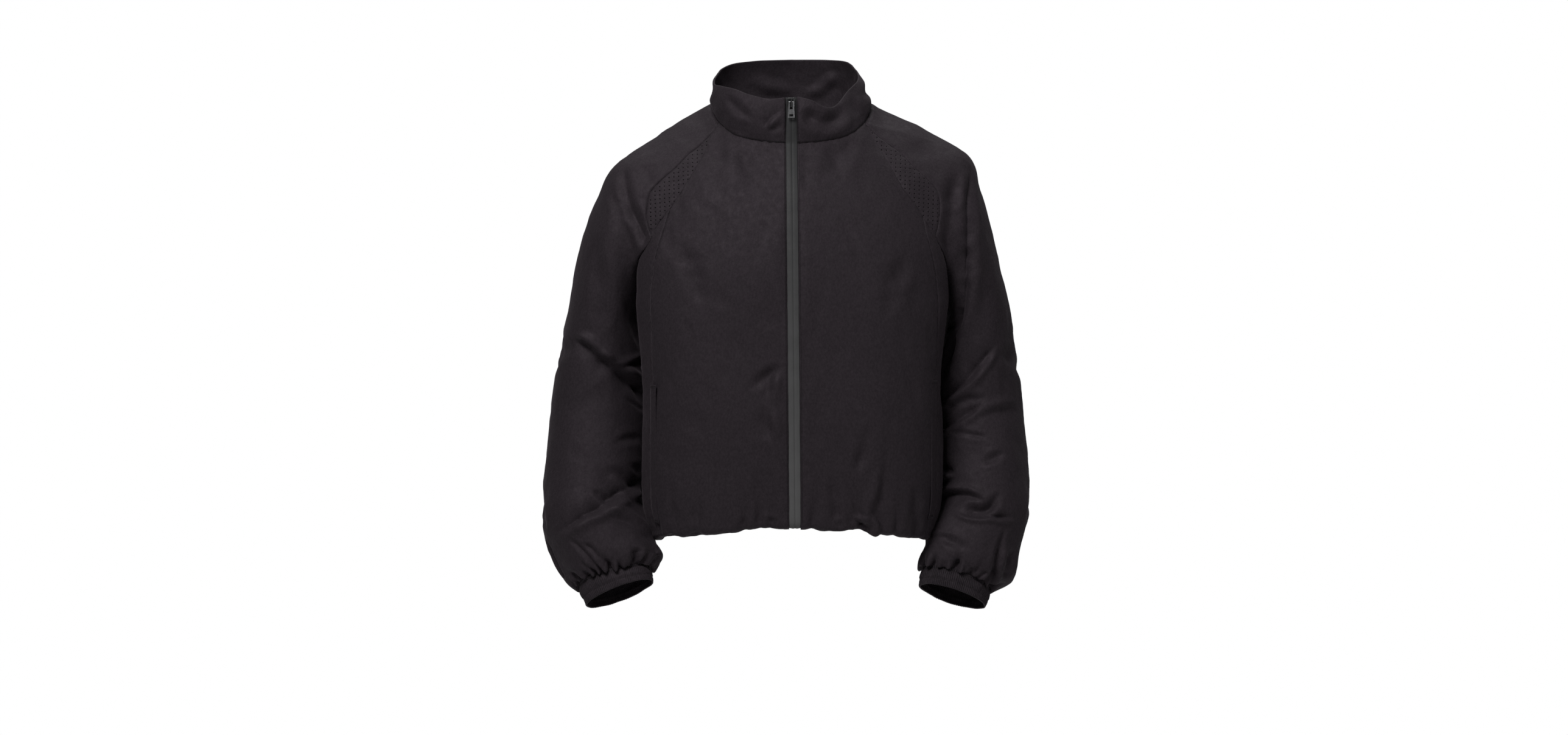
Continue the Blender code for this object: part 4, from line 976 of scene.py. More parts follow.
def gathers(along, away, marks, strengths, pleat, round_by, seed):
    """Pleats that rise from a gathered edge: how far they lift, and how pinched the edge is."""
    random = np.random.default_rng(seed)
    lift = np.zeros_like(away)
    pinch = np.zeros_like(away)
    for mark, strength in zip(marks, strengths):
        deep = pleat["depth"] * strength
        wide = random.uniform(*pleat["wide"])
        long = pleat["length"] * (0.4 + 0.6 * strength) * random.uniform(0.7, 1.3)
        lean = random.uniform(-PLEAT_LEAN, PLEAT_LEAN)
        off = along - mark - lean * away
        if round_by:
            off = (off + round_by / 2) % round_by - round_by / 2
        up = np.maximum(away, 0) / long
        valley = bell(off / (wide * (1 + PLEAT_SPREAD * up)))
        swell = PLEAT_SWELL * bell((np.abs(off) / wide - PLEAT_SWELL_AT) / PLEAT_SWELL_WIDE)
        lift += deep * (swell - valley) * np.exp(-(up**1.6))
        pinch += strength**2 * bell(off / (pleat["pinch"] * wide))
    return lift, np.minimum(pinch, PINCH_MOST)


def hem_gathers(side, grid):
    """How far the pleats above the elastic hem lift the cloth, and how far its scallops rise."""
    places, heights = grid[..., 0], grid[..., 1]
    table = np.linspace(0, 1, SEAM_POINTS)
    run = length_along(torso(side, seam(table, hem_height(table))))
    along = np.interp(places, table, run)
    away = heights - above_hem(places)
    rolled = len(HEM_ANGLES)
    along, away = (np.concatenate([np.repeat(v[:1], rolled, axis=0), v]) for v in (along, away))
    shown = HEM_MARKS[side]
    marked = np.interp(place_at(shown["x"], HEM["height"][0]), table, run)
    start = np.interp(HEM_MARKS_END, table, run)
    more, strengths = marks_along(start, run[-1], HEM_PLEAT["spacing"], SEEDS["hem_marks"] + side)
    marks = np.concatenate([marked, more])
    strengths = np.concatenate([shown["strength"], strengths])
    lift, pinch = gathers(along, away, marks, strengths, HEM_PLEAT, 0.0, SEEDS["hem_pleats"] + side)
    lift *= 1 - bell(along / HEM_ZIP_CLEAR)
    lift[:rolled] *= 1 - HEM_FLAT * np.sin(np.radians(HEM_ANGLES))[:, None]
    return lift, HEM_SCALLOP * (pinch - HEM_PINCH) * np.exp(-away / HEM_SCALLOP_REACH)


# ---- sleeves ----
def loop_points(side, loop, turn):
    """Points of one loop: turn goes once round from the underarm, over the front."""
    tilt = np.radians(loop["rise"])
    outer = np.array((side * loop["outer_x"], loop["middle_y"], loop["outer_z"]))
    inner = np.array((side * loop["inner_x"], loop["middle_y"], loop["inner_z"]))
    front = loop["depth"] * np.array((0.0, -np.cos(tilt), np.sin(tilt)))
    angle = 2 * np.pi * np.asarray(turn)[..., None]
    return (outer + inner) / 2 - (outer - inner) / 2 * np.cos(angle) + front * np.sin(angle)


class Sleeve:
    """The form of one sleeve through its loops; the first is the raglan seam."""

    def __init__(self, side):
        self.side = side
        low = raglan_seam(side, UNDERARM_HEIGHT, PRINCESS_TOP[side], SIDE_COLUMNS)
        high = raglan_seam(side, PRINCESS_TOP[side], NECK_FRONT_HEIGHT, RAGLAN_COLUMNS)
        front = torso(side, np.concatenate([low, high[1:]]))
        back = torso(side, back_raglan_seam(side)[::-1])
        self.front_columns = len(front) - 1
        loop = np.concatenate([front, shoulder_neck(side)[1:], back[1:]])
        run = length_along(loop)
        top = self.front_columns + SHOULDER_COLUMNS // 2
        self.turns = np.where(
            run <= run[top], 0.5 * run / run[top], 0.5 + 0.5 * (run - run[top]) / (run[-1] - run[top])
        )[:-1]
        self.seam_run = run[self.front_columns] - run[:-1]
        table = SLEEVE_LOOPS[side]
        self.rows = [dict(zip(table.names, row)) for row in table.rows]
        loops = [loop[:-1]]
        for index, row in enumerate(self.rows[:-1]):
            lead = ARMPIT_LEAD * max(0.0, 1 - index / ARMPIT_LOOPS) * np.sin(2 * np.pi * self.turns)
            loops.append(loop_points(side, row, self.turns + lead))
        self.loops = np.array(loops)
        self.reach = self.insert_reach()

    def surface(self, runs, columns):
        """Points for rows of runs, a run for each of the columns."""
        knots = np.arange(len(self.loops))
        return np.stack([smooth(knots, self.loops[:, c], run) for c, run in zip(columns, runs.T)], axis=1)

    def insert_reach(self):
        """How far out the insert goes on each column."""
        trial = np.linspace(0, INSERT_LOOPS, REACH_POINTS)
        columns = np.arange(len(self.turns))
        points = self.surface(np.repeat(trial[:, None], len(columns), axis=1), columns)
        reach = np.zeros(len(self.turns))
        self.insert_width = np.zeros(len(self.turns))
        for c in range(1, self.front_columns):
            if 0 < self.seam_run[c] < INSERT["down_seam"][-1]:
                width = max(float(smooth(INSERT["down_seam"], INSERT["width"], self.seam_run[c])), 0.0)
                reach[c] = np.interp(width, length_along(points[:, c]), trial)
                self.insert_width[c] = width
        return reach

    def cloth(self, name):
        share = np.linspace(0, 1, SLEEVE_ROWS + 1)[:, None]
        runs = self.reach + share * (len(self.loops) - 1 - self.reach)
        points = self.surface(runs, np.arange(len(self.turns)))
        made = Cloth(name, points, points - points.mean(axis=1, keepdims=True), ring=True)
        from_raglan = made.runs["first_row"] + self.insert_width
        made.free = 1 - bell(from_raglan / HOLD)
        made.hold("last_row", CUFF_HOLD)
        made.sew("first_row", SEEDS["sleeve_top"])
        inner = np.maximum(np.cos(2 * np.pi * self.turns), 0)
        for height, reach, by in SLEEVE_FILL.rows:
            made.shift[..., 0] -= self.side * by * bell((points[..., 2] - height) / reach) * inner
        return made

    def insert_cloth(self, name):
        used = np.nonzero(self.reach > 0)[0]
        columns = np.arange(used[0] - 1, used[-1] + 2)
        runs = self.reach[columns] * np.linspace(0, 1, INSERT_ROWS + 1)[:, None]
        points = self.surface(runs, columns)
        away = np.broadcast_to((0.0, -1.0, 0.3), points.shape)
        made = Cloth(name, points, away)
        made.hold("first_row")
        made.sew("first_row", SEEDS["insert_inner"])
        made.sew("last_row", SEEDS["sleeve_top"])
        return made

    def gather(self, cloth, seed):
        """Pleats and hanging lobes where the sleeve blouses over the cuff."""
        edge = np.concatenate([self.loops[-1], self.loops[-1, :1]])
        along = length_along(edge)
        total = along[-1]
        away = cloth.runs["last_row"]
        marks, strengths = marks_along(0, total - CUFF_PLEAT["spacing"][0], CUFF_PLEAT["spacing"], seed)
        along = np.broadcast_to(along[:-1], away.shape)
        lift, pinch = gathers(along, away, marks, strengths, CUFF_PLEAT, total, seed)
        cloth.lift += lift * (1 - np.exp(-away / CUFF_CLEAR))
        end = loop_points(self.side, self.rows[-1], self.turns)
        down = unit(end.mean(axis=0) - self.loops[-1].mean(axis=0))
        bump = (1 - bell(away / LOBE_START)) * bell(away / LOBE_END)
        cloth.lift += LOBE_SWELL * bump
        cloth.shift += down * (LOBE_DROP * bump * (1.1 - pinch))[..., None]


# ---- meshes ----
def add_mesh(name, points, faces, finish, uvs=None):
    """A piece that rides on the garment."""
    mesh = bpy.data.meshes.new(name)
    mesh.from_pydata((np.asarray(points) * MM).tolist(), [], faces)
    mesh.materials.append(finish)
    if uvs is not None:
        layer = mesh.uv_layers.new(name="cloth")
        corners = np.empty(len(mesh.loops), int)
        mesh.loops.foreach_get("vertex_index", corners)
        layer.data.foreach_set("uv", (np.asarray(uvs)[corners] * MM).ravel())
    mesh.shade_smooth()
    made = bpy.data.objects.new(name, mesh)
    bpy.context.scene.collection.objects.link(made)
    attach(made, "garment")
    return made


def thicken(made, wall):
    shell = made.modifiers.new("wall", "SOLIDIFY")
    shell.thickness = wall * MM
    shell.offset = 0.0


def grid_faces(rows, columns, ring):
    """Quads of a grid of points."""
    r = np.arange(rows - 1)[:, None]
    c = np.arange(columns if ring else columns - 1)[None, :]
    d = (c + 1) % columns
    quads = np.stack([r * columns + c, r * columns + d, (r + 1) * columns + d, (r + 1) * columns + c], -1)
    return quads.reshape(-1, 4).tolist()


def grid_mesh(name, points, finish, ring=False, wall=CLOTH_WALL):
    rows, columns = points.shape[:2]
    u, v = np.meshgrid(length_along(points, axis=1).mean(axis=0), length_along(points).mean(axis=1))
    uvs = np.stack([u, v], -1).reshape(-1, 2)
    made = add_mesh(name, points.reshape(-1, 3), grid_faces(rows, columns, ring), finish, uvs)
    if wall:
        thicken(made, wall)


def beads(name, chains, finish):
    """Stitches along chains of points and their normals."""
    shape = [(-0.5, 0, -0.2), (0.5, 0, -0.2)]
    for end in (-0.3, 0.3):
        shape += [(end, 0.5, 0), (end, 0, 0.5), (end, -0.5, 0), (end, 0, -0.5)]
    shape = np.array(shape) * (STITCH_LENGTH, STITCH_WIDTH, STITCH_WIDTH)
    faces = []
    for k in range(4):
        n = (k + 1) % 4
        faces += [(0, 2 + n, 2 + k), (2 + k, 2 + n, 6 + n, 6 + k), (1, 6 + k, 6 + n)]
    points, all_faces = [], []
    for chain, normals in chains:
        run = length_along(chain)
        at = np.arange(STITCH_PITCH / 2, run[-1], STITCH_PITCH)
        up = unit(read_at(at, run, normals))
        way = unit(read_at(at, run, np.gradient(chain, axis=0)))
        frames = np.stack([way, np.cross(up, way), up], 1)
        for spot, axes in zip(read_at(at, run, chain), frames):
            start = len(points) * len(shape)
            points.append(spot + shape @ axes)
            all_faces += [tuple(start + k for k in face) for face in faces]
    add_mesh(name, np.concatenate(points), all_faces, finish)


def line_beside(points, normals, edge_run, distance, raise_by):
    """The chain at a distance from the first column of a grid, a point for each row."""
    chain = np.array([read_at(distance, run, row) for run, row in zip(edge_run, points)])
    ups = unit(np.array([read_at(distance, run, up) for run, up in zip(edge_run, normals)]))
    return chain + ups * raise_by, ups


# ---- the perforated insert ----
class Lattice:
    """The insert's cloth on the grain of its holes: u across and v up, as the viewer sees it."""

    def __init__(self, side, cloth):
        self.side = side
        self.step = np.array(HOLE_PITCH) / HOLE_STEPS
        grid = cloth.shaped()
        self.edges = []
        for row in (grid[0], grid[-1]):
            order = np.argsort(self.uv(row)[:, 1])
            self.edges.append((self.uv(row)[order], row[order]))
        faces = grid_faces(grid.shape[0], grid.shape[1], False)
        self.tree = BVHTree.FromPolygons(grid.reshape(-1, 3).tolist(), faces)
        self.spots = {}
        self.ends = {}

    def uv(self, points):
        across = self.side * points[..., 0]
        return np.stack([across - LATTICE_LEAN * points[..., 2], points[..., 2] + LATTICE_SLOPE * across], -1)

    def on_cloth(self, uv):
        across = (uv[0] + LATTICE_LEAN * uv[1]) / (1 + LATTICE_LEAN * LATTICE_SLOPE)
        x, z = self.side * across, uv[1] - LATTICE_SLOPE * across
        hit = self.tree.ray_cast(Vector((x, LATTICE_FROM, z)), Vector((0, 1, 0)))[0]
        if hit is None:
            hit = self.tree.find_nearest(Vector((x, LATTICE_NEAR, z)))[0]
            return (x, hit.y, z)
        return tuple(hit)

    def fill(self):
        """Places of the lattice's points, row by row, between the two seams."""
        low, high = (edge[0] for edge in self.edges)
        first = int(np.ceil(max(low[0, 1], high[0, 1]) / self.step[1]))
        last = int(np.floor(min(low[-1, 1], high[-1, 1]) / self.step[1]))
        for j in range(first, last + 1):
            v = j * self.step[1]
            sides = [np.interp(v, edge[0][:, 1], edge[0][:, 0]) for edge in self.edges]
            if sides[1] - sides[0] < self.step[0]:
                continue
            self.ends[j] = [read_at(v, edge[0][:, 1], edge[1]) for edge in self.edges]
            i0 = int(np.ceil(sides[0] / self.step[0] + LATTICE_CLEAR))
            i1 = int(np.floor(sides[1] / self.step[0] - LATTICE_CLEAR))
            for i in range(i0, i1 + 1):
                self.spots[i, j] = np.array((i * self.step[0], v))

    def punch(self):
        """Rounds a hole out of the four squares about every eighth point."""
        holes = set()
        border = np.concatenate([edge[0] for edge in self.edges])
        for i, j in list(self.spots):
            if i % HOLE_STEPS or j % HOLE_STEPS:
                continue
            middle = self.spots[i, j]
            if np.linalg.norm(border - middle, axis=1).min() < HOLE_MARGIN:
                continue
            holes.add((i, j))
            for di in (-1, 0, 1):
                for dj in (-1, 0, 1):
                    if di or dj:
                        way = np.array((di, dj)) / np.hypot(di, dj)
                        self.spots[i + di, j + dj] = middle + way * HOLE_RADIUS
        return holes

    def mesh(self):
        self.fill()
        holes = self.punch()
        points = []
        number = {}
        for key, uv in self.spots.items():
            if key not in holes:
                number[key] = len(points)
                points.append(self.on_cloth(uv))
        for j, whole in self.ends.items():
            for k, name in ((0, "start"), (1, "end")):
                number[name, j] = len(points)
                points.append(tuple(whole[k]))
        faces = []
        for j in sorted(self.ends):
            if j + 1 in self.ends:
                faces += self.row_faces(j, number, holes)
        points = np.array(points)
        return points, faces, self.uv(points)

    def row_faces(self, j, number, holes):
        below = sorted(i for i, row in self.spots if row == j)
        above = sorted(i for i, row in self.spots if row == j + 1)
        shared = sorted(set(below) & set(above))
        start, end = ("start", j), ("end", j)
        start_up, end_up = ("start", j + 1), ("end", j + 1)
        if not shared:
            ring = [start] + [(i, j) for i in below] + [end, end_up] + [(i, j + 1) for i in reversed(above)]
            return [tuple(number[k] for k in ring + [start_up])]
        first, last = shared[0], shared[-1]
        rings = [
            [start] + [(i, j) for i in below if i <= first]
            + [(i, j + 1) for i in reversed(above) if i <= first] + [start_up],
            [(i, j) for i in below if i >= last] + [end, end_up]
            + [(i, j + 1) for i in reversed(above) if i >= last],
        ]
        for i in shared[:-1]:
            ring = [(i, j), (i + 1, j), (i + 1, j + 1), (i, j + 1)]
            if not holes.intersection(ring):
                rings.append(ring)
        return [tuple(number[k] for k in ring) for ring in rings]


# ---- collar, zip, pockets, cuffs and casing ----
def collar_half(side):
    front = torso(side, neck_seam(side))
    back = torso(side, back_neck_seam())
    base = np.concatenate([front, shoulder_neck(side)[1:], back[1:]])
    way = length_along(base)
    name = dict(SIDES)[side]
    shown = np.stack([RIM[f"{name}_x"], RIM["y"], RIM[f"{name}_z"]], -1)
    rim = smooth(RIM["way"], shown, way / way[-1])
    rim[:, 0] = np.maximum(rim[:, 0], 0.0) * side
    rim[0, 0] += zip_middle(ZIP_TOP)
    bulge = outwards(base) * COLLAR_BULGE
    bulge[0] = 0.0
    share = np.linspace(0, 1, COLLAR_ROWS + 1)[:, None, None]
    return base + (rim - base) * share + bulge * arch(share)


def turned_collar(cloth):
    """The collar's outer face, its rounded rim and its inner face as one grid."""
    middle = cloth.shaped()
    normals = cloth.shaped_normals()
    share = np.linspace(0, 1, len(middle))[:, None]
    ends = np.minimum(cloth.runs["first_column"], cloth.runs["last_column"])
    skin = np.interp(share, (0, 1), COLLAR_SKIN) * np.sqrt(np.clip(ends / COLLAR_END, 0.1, 1))
    up = unit(middle[-1] - middle[-3])
    outer = middle + normals * skin[..., None]
    inner = middle - normals * skin[..., None]
    turn = RIM_TURN[:, None, None]
    rim = middle[-1] + (normals[-1] * np.cos(turn) + up * np.sin(turn)) * skin[-1][:, None]
    low = inner[0] - unit(middle[2] - middle[0]) * LAP["past"] - normals[0] * LAP["under"]
    return np.concatenate([outer, rim, inner[::-1], low[None]])


def tape_cloth(side, name):
    neck = NECK["height"][0]
    heights = np.linspace(above_hem(0.0), ZIP_TOP, TAPE_ROWS + 1)
    under = np.minimum(heights, neck)
    up = np.interp(heights, (neck, ZIP_TOP), (0, 1))
    y = torso_half(zip_edge(side, under), under)[1] * (1 - up) + up * RIM["y"][0] + TAPE_SINK
    x = zip_middle(heights)[:, None] + side * TAPE_PROFILE["offset"]
    points = np.stack(np.broadcast_arrays(x, y[:, None], heights[:, None]), -1)
    rolled = hem_turn(points, HEM_ANGLES[HEM_ANGLES <= TAPE_HEM_ANGLE])
    made = Cloth(name, rolled, np.broadcast_to((0.0, -1.0, 0.0), rolled.shape))
    made.lift += TAPE_PROFILE["lift"] + TAPE_SWELL * waves(rolled * UP, TAPE_SWELL_LENGTH, SEEDS["tape"])
    return made


def welt_grid(side):
    """The pocket welt beside the princess seam."""
    heights = np.linspace(POCKET_TOP[side], POCKET_TOP[side] - POCKET_LENGTH, WELT_ROWS)
    seam_x = torso_half(princess_place(side, heights), heights)[0]
    offsets = WELT_INSET + WELT_WIDTH * np.linspace(0, 1, WELT_COLUMNS)
    return np.stack([worn(side, seam(place_at(seam_x - by, heights), heights)) for by in offsets], axis=1)


def cuff_grid(sleeve):
    side = sleeve.side
    fine = np.linspace(0, 1, LOOP_POINTS)
    run = length_along(loop_points(side, sleeve.rows[-2], fine))
    ribs = int(run[-1] / RIB_PITCH)
    turns = np.interp(np.arange(ribs * RIB_COLUMNS) / (ribs * RIB_COLUMNS) * run[-1], run, fine)
    start = loop_points(side, sleeve.rows[-2], turns)
    end = loop_points(side, sleeve.rows[-1], turns)
    share = np.linspace(0, 1, CUFF_ROWS + 1)[:, None, None]
    points = start + (end - start) * share
    centre = points.mean(axis=1, keepdims=True)
    return centre + (points - centre) * (1 + CUFF_BARREL * arch(share))


def cuff_cloth(sleeve, name):
    """Ribs that drift and vary, drawn in at the two rows of stitches and puffed between them."""
    points = cuff_grid(sleeve)
    made = Cloth(name, points, points - points.mean(axis=1, keepdims=True), ring=True)
    share = np.linspace(0, 1, CUFF_ROWS + 1)[:, None]
    drift = RIB_DRIFT * waves(points, RIB_DRIFT_LENGTH, SEEDS["drift"])
    rib = np.cos(2 * np.pi * np.arange(points.shape[1]) / RIB_COLUMNS + drift)
    height = RIB_HEIGHT[sleeve.side] * (1 + RIB_UNEVEN * waves(points, RIB_UNEVEN_LENGTH, SEEDS["ribs"]))
    pinch = sum(bell((share - stitch) / CUFF_PINCH["reach"]) for stitch in CUFF_STITCHES)
    made.lift += height * rib * (1 - CUFF_PINCH["flat"] * pinch) - CUFF_PINCH["dip"] * pinch
    made.lift += CUFF_PUFF * np.sin(np.pi * np.interp(share, CUFF_STITCHES, (0, 1)))
    made.lift += CUFF_SWELL * waves(points, CUFF_SWELL_LENGTH, SEEDS["cuff"])
    return made


def casing_grid(side):
    start = zip_edge(side, above_hem(0.0))
    base = worn(side, hem_row(start, 1.0, CASING_COLUMNS))
    away = outwards(base)
    share = np.linspace(0, 1, CASING_ROWS)[:, None, None]
    low = base - away * 2 * HEM_ROLL
    return low + (UP * CASING_HEIGHT - away * CASING_LEAN) * share


# ---- finishes ----
WARM_TINT = (1.0, 0.86, 0.96, 1.0)


class Nodes:
    """The nodes of a material or a world."""

    def __init__(self, owner):
        owner.use_nodes = True
        self.tree = owner.node_tree
        self.tree.nodes.clear()

    def node(self, kind, settings=(), **values):
        made = self.tree.nodes.new(kind)
        for name, value in dict(settings).items():
            setattr(made, name, value)
        for name, value in values.items():
            made.inputs[name.replace("_", " ")].default_value = value
        return made

    def link(self, source, target):
        self.tree.links.new(source, target)


class Finish(Nodes):
    """A material made of nodes."""

    def __init__(self, name, **shader_values):
        self.material = bpy.data.materials.new(name)
        super().__init__(self.material)
        self.shader = self.node("ShaderNodeBsdfPrincipled", **shader_values)
        output = self.node("ShaderNodeOutputMaterial")
        self.link(self.shader.outputs["BSDF"], output.inputs["Surface"])

    def place(self, stretch=(1.0, 1.0, 1.0), kind="Object"):
        """Coordinates in metres, stretched."""
        source = self.node("ShaderNodeTexCoord")
        mapping = self.node("ShaderNodeMapping", Scale=stretch)
        self.link(source.outputs[kind], mapping.inputs["Vector"])
        return mapping.outputs["Vector"]

    def noise(self, place, scale, detail=3.0, roughness=0.55, distortion=0.0):
        made = self.node("ShaderNodeTexNoise", Scale=scale, Detail=detail, Roughness=roughness,
                         Distortion=distortion)
        self.link(place, made.inputs["Vector"])
        return made.outputs[0]

    def weave(self, place, direction):
        made = self.node("ShaderNodeTexWave", {"bands_direction": direction}, Scale=700.0, Distortion=0.6)
        self.link(place, made.inputs["Vector"])
        return made.outputs["Fac"]

    def combine(self, operation, first, second):
        made = self.node("ShaderNodeMath", {"operation": operation})
        self.link(first, made.inputs[0])
        self.link(second, made.inputs[1])
        return made.outputs[0]

    def spread(self, value, low, high, from_low=0.3, from_high=0.7):
        made = self.node("ShaderNodeMapRange", From_Min=from_low, From_Max=from_high, To_Min=low, To_Max=high)
        self.link(value, made.inputs["Value"])
        return made.outputs["Result"]

    def mix(self, share, first, second):
        made = self.node("ShaderNodeMix", {"data_type": "RGBA"})
        self.link(share, made.inputs["Factor"])
        colours = [socket for socket in made.inputs if socket.type == "RGBA"]
        for socket, colour in zip(colours, (first, second)):
            socket.default_value = (*colour, 1.0)
        return [socket for socket in made.outputs if socket.type == "RGBA"][0]

    def bump(self, height, distance, strength=1.0, under=None):
        made = self.node("ShaderNodeBump", Distance=distance, Strength=strength)
        self.link(height, made.inputs["Height"])
        if under is not None:
            self.link(under, made.inputs["Normal"])
        return made.outputs["Normal"]

    def finished(self, colour, roughness, normal=None):
        self.link(colour, self.shader.inputs["Base Color"])
        self.link(roughness, self.shader.inputs["Roughness"])
        if normal is not None:
            self.link(normal, self.shader.inputs["Normal"])
        return self.material


def nylon(name, dark, light, crinkle=1.0):
    """Crinkled plain-weave nylon: small creases, a finer grain and the weave."""
    finish = Finish(name, Metallic=0.0, Sheen_Weight=0.05, Sheen_Roughness=0.4, Sheen_Tint=WARM_TINT,
                    Specular_IOR_Level=0.16, Specular_Tint=WARM_TINT)
    place = finish.place()
    upright = finish.place((1.0, 1.0, 0.6))
    mottle = finish.spread(finish.noise(upright, 420.0, 4.0, 0.65, 0.4), 0.15, 0.85, 0.36, 0.64)
    flat = finish.place(kind="UV")
    weave = finish.combine("MULTIPLY", finish.weave(flat, "X"), finish.weave(flat, "Y"))
    normal = finish.bump(weave, 0.00002, 0.5)
    for height, distance in (
        (finish.noise(place, 620.0, 2.0, 0.6, 0.3), 0.00026),
        (finish.noise(upright, 280.0, 4.0, 0.6, 0.8), 0.00032),
        (finish.noise(upright, 62.0, 3.0, 0.5, 0.6), 0.00035),
    ):
        normal = finish.bump(height, distance * crinkle, 1.0, normal)
    roughness = finish.spread(finish.noise(place, 120.0), 0.55, 0.72)
    return finish.finished(finish.mix(mottle, dark, light), roughness, normal)


def thread_and_pit_shade():
    finish = Finish("thread_and_pit_shade", Metallic=0.0, Specular_IOR_Level=0.3)
    twist = finish.noise(finish.place(), 2400.0, 2.0)
    # black thread, made darker than the cloth so that it also paints the shade in the stitch holes
    colour = finish.mix(twist, (0.0015, 0.0015, 0.0015), (0.005, 0.005, 0.005))
    return finish.finished(colour, finish.spread(twist, 0.5, 0.75), finish.bump(twist, 0.0001))


def laminated_tape():
    """Satin film over the zip, with painted reflection that makes it lighter and greyer low down and darker
    towards the top, a little scuffed along its length.
    """
    finish = Finish("laminated_tape", Metallic=0.0, Specular_IOR_Level=0.12)
    place = finish.place()
    streaks = finish.noise(finish.place((1.0, 1.0, 0.08)), 900.0, 4.0, 0.6)
    height = finish.node("ShaderNodeSeparateXYZ")
    finish.link(place, height.inputs["Vector"])
    # clear is painted reflection: the colour is lighter low down and darker towards the top
    clear = finish.spread(height.outputs["Z"], 0.88, 0.0, *TAPE_PAINTED_REFLECTION)
    cloudy = finish.spread(finish.noise(place, 38.0, 3.0, 0.5), 0.0, 0.12)
    colour = finish.mix(finish.combine("ADD", clear, cloudy), (0.026, 0.026, 0.027), (0.100, 0.099, 0.100))
    grain = finish.bump(finish.noise(place, 1300.0, 2.0), 0.00005)
    normal = finish.bump(finish.noise(place, 60.0, 2.0), 0.0006, 1.0, grain)
    return finish.finished(colour, finish.spread(streaks, 0.5, 0.64), normal)


def black_enamel():
    finish = Finish("black_enamel", Metallic=0.0, Coat_Weight=0.4, Coat_Roughness=0.12)
    place = finish.place()
    wear = finish.noise(place, 500.0, 4.0, 0.6)
    colour = finish.mix(finish.spread(wear, 0.0, 1.0, 0.5, 0.8), (0.006, 0.006, 0.007), (0.02, 0.02, 0.02))
    normal = finish.bump(finish.noise(place, 900.0, 3.0), 0.00004)
    return finish.finished(colour, finish.spread(wear, 0.22, 0.4), normal)


def gunmetal():
    """Satin plated metal, brushed along the tab."""
    finish = Finish("gunmetal", Metallic=1.0)
    brushed = finish.noise(finish.place((1.0, 1.0, 0.05)), 5200.0, 3.0, 0.6)
    tarnish = finish.noise(finish.place(), 420.0, 4.0, 0.55)
    colour = finish.mix(finish.spread(tarnish, 0.0, 1.0), (0.30, 0.30, 0.31), (0.44, 0.44, 0.45))
    return finish.finished(colour, finish.spread(brushed, 0.24, 0.42), finish.bump(brushed, 0.00003))


def floor_paint():
    finish = Finish("floor_paint", Metallic=0.0, Specular_IOR_Level=0.2)
    shade = finish.noise(finish.place(), 3.0)
    colour = finish.mix(shade, (0.84, 0.84, 0.84), (0.88, 0.88, 0.88))
    return finish.finished(colour, finish.spread(shade, 0.7, 0.85))


# ---- the garment ----
shell = nylon("nylon", (0.0165, 0.0132, 0.0158), (0.0285, 0.0232, 0.0272))
shirring = nylon("shirring", (0.0150, 0.0122, 0.0144), (0.0265, 0.0218, 0.0254), 0.7)
sewing = thread_and_pit_shade()
tape_finish = laminated_tape()


def sew_front(front):
    """The seams of a front panel, and the cloth that swells beside the zip's stitches."""
    front.hold("first_column", ZIP_HOLD)
    front.sew("last_row", SEEDS["raglan"])
    front.sew("last_column", SEEDS["princess"])
    front.sew("first_column", SEEDS["zip"], **ZIP_SEAM)
    run = front.runs["first_column"]
    sunk = bell((run - ZIP_STITCH) / ZIP_SUNK_REACH)
    front.lift += ZIP_SWELL * (1 - np.minimum(run / ZIP_SWELL_REACH, 1) - sunk)


def make_body():
    """The two fronts, the two side fronts and the back."""
    cloths = {}
    gathered = {}
    for side, name in SIDES:
        front = front_grid(side)
        for piece, grid in ((f"front_{name}", front), (f"side_front_{name}", side_front_grid(side, front))):
            points = body_points(side, grid)
            cloths[piece] = Cloth(piece, points, outwards(points))
            gathered[piece] = hem_gathers(side, grid)
    backs = [(side, back_half_grid(side)) for side, _ in SIDES]
    points = join_halves(*(body_points(*half) for half in backs))
    cloths["back"] = Cloth("back", points, outwards(points))
    gathered["back"] = [join_halves(*halves) for halves in zip(*(hem_gathers(*half) for half in backs))]
    for cloth in cloths.values():
        cloth.hold("last_row")
    for _, name in SIDES:
        sew_front(cloths[f"front_{name}"])
        for edge, joined in SIDE_FRONT_SEAMS.items():
            cloths[f"side_front_{name}"].sew(edge, SEEDS[joined])
    for edge, joined in BACK_SEAMS.items():
        cloths["back"].sew(edge, SEEDS[joined])
    fold(list(cloths.values()), BODY_PLANE, BODY_FOLDS, "body", SEEDS["body"])
    for piece, cloth in cloths.items():
        lift, drop = gathered[piece]
        cloth.lift += lift
        cloth.shift[..., 2] += drop
        grid_mesh(piece + "_cloth", lapped(cloth), shell)
    return cloths


def make_sleeve(side, name):
    """One sleeve with its insert and cuff; gives back the lines of the cuff's stitches."""
    sleeve = Sleeve(side)
    main = sleeve.cloth(f"sleeve_{name}")
    insert = sleeve.insert_cloth(f"insert_{name}")
    fold([main, insert], SLEEVE_PLANE, SLEEVE_FOLDS[side], "sleeve", SEEDS["sleeve"] + side)
    sleeve.gather(main, SEEDS["cuff_pleats"] + side)
    grid_mesh(main.name + "_cloth", main.shaped(), shell, ring=True)
    points, faces, uvs = Lattice(side, insert).mesh()
    thicken(add_mesh(insert.name + "_cloth", points, faces, shell, uvs), CLOTH_WALL)
    cuff = cuff_cloth(sleeve, f"cuff_{name}")
    grid_mesh(cuff.name + "_cloth", cuff.shaped(), shirring, ring=True, wall=CUFF_WALL)
    raise_by = CUFF_WALL / 2 + STITCH_RAISE["cuff"]
    return [cuff.row_line(round(share * CUFF_ROWS), raise_by) for share in CUFF_STITCHES]


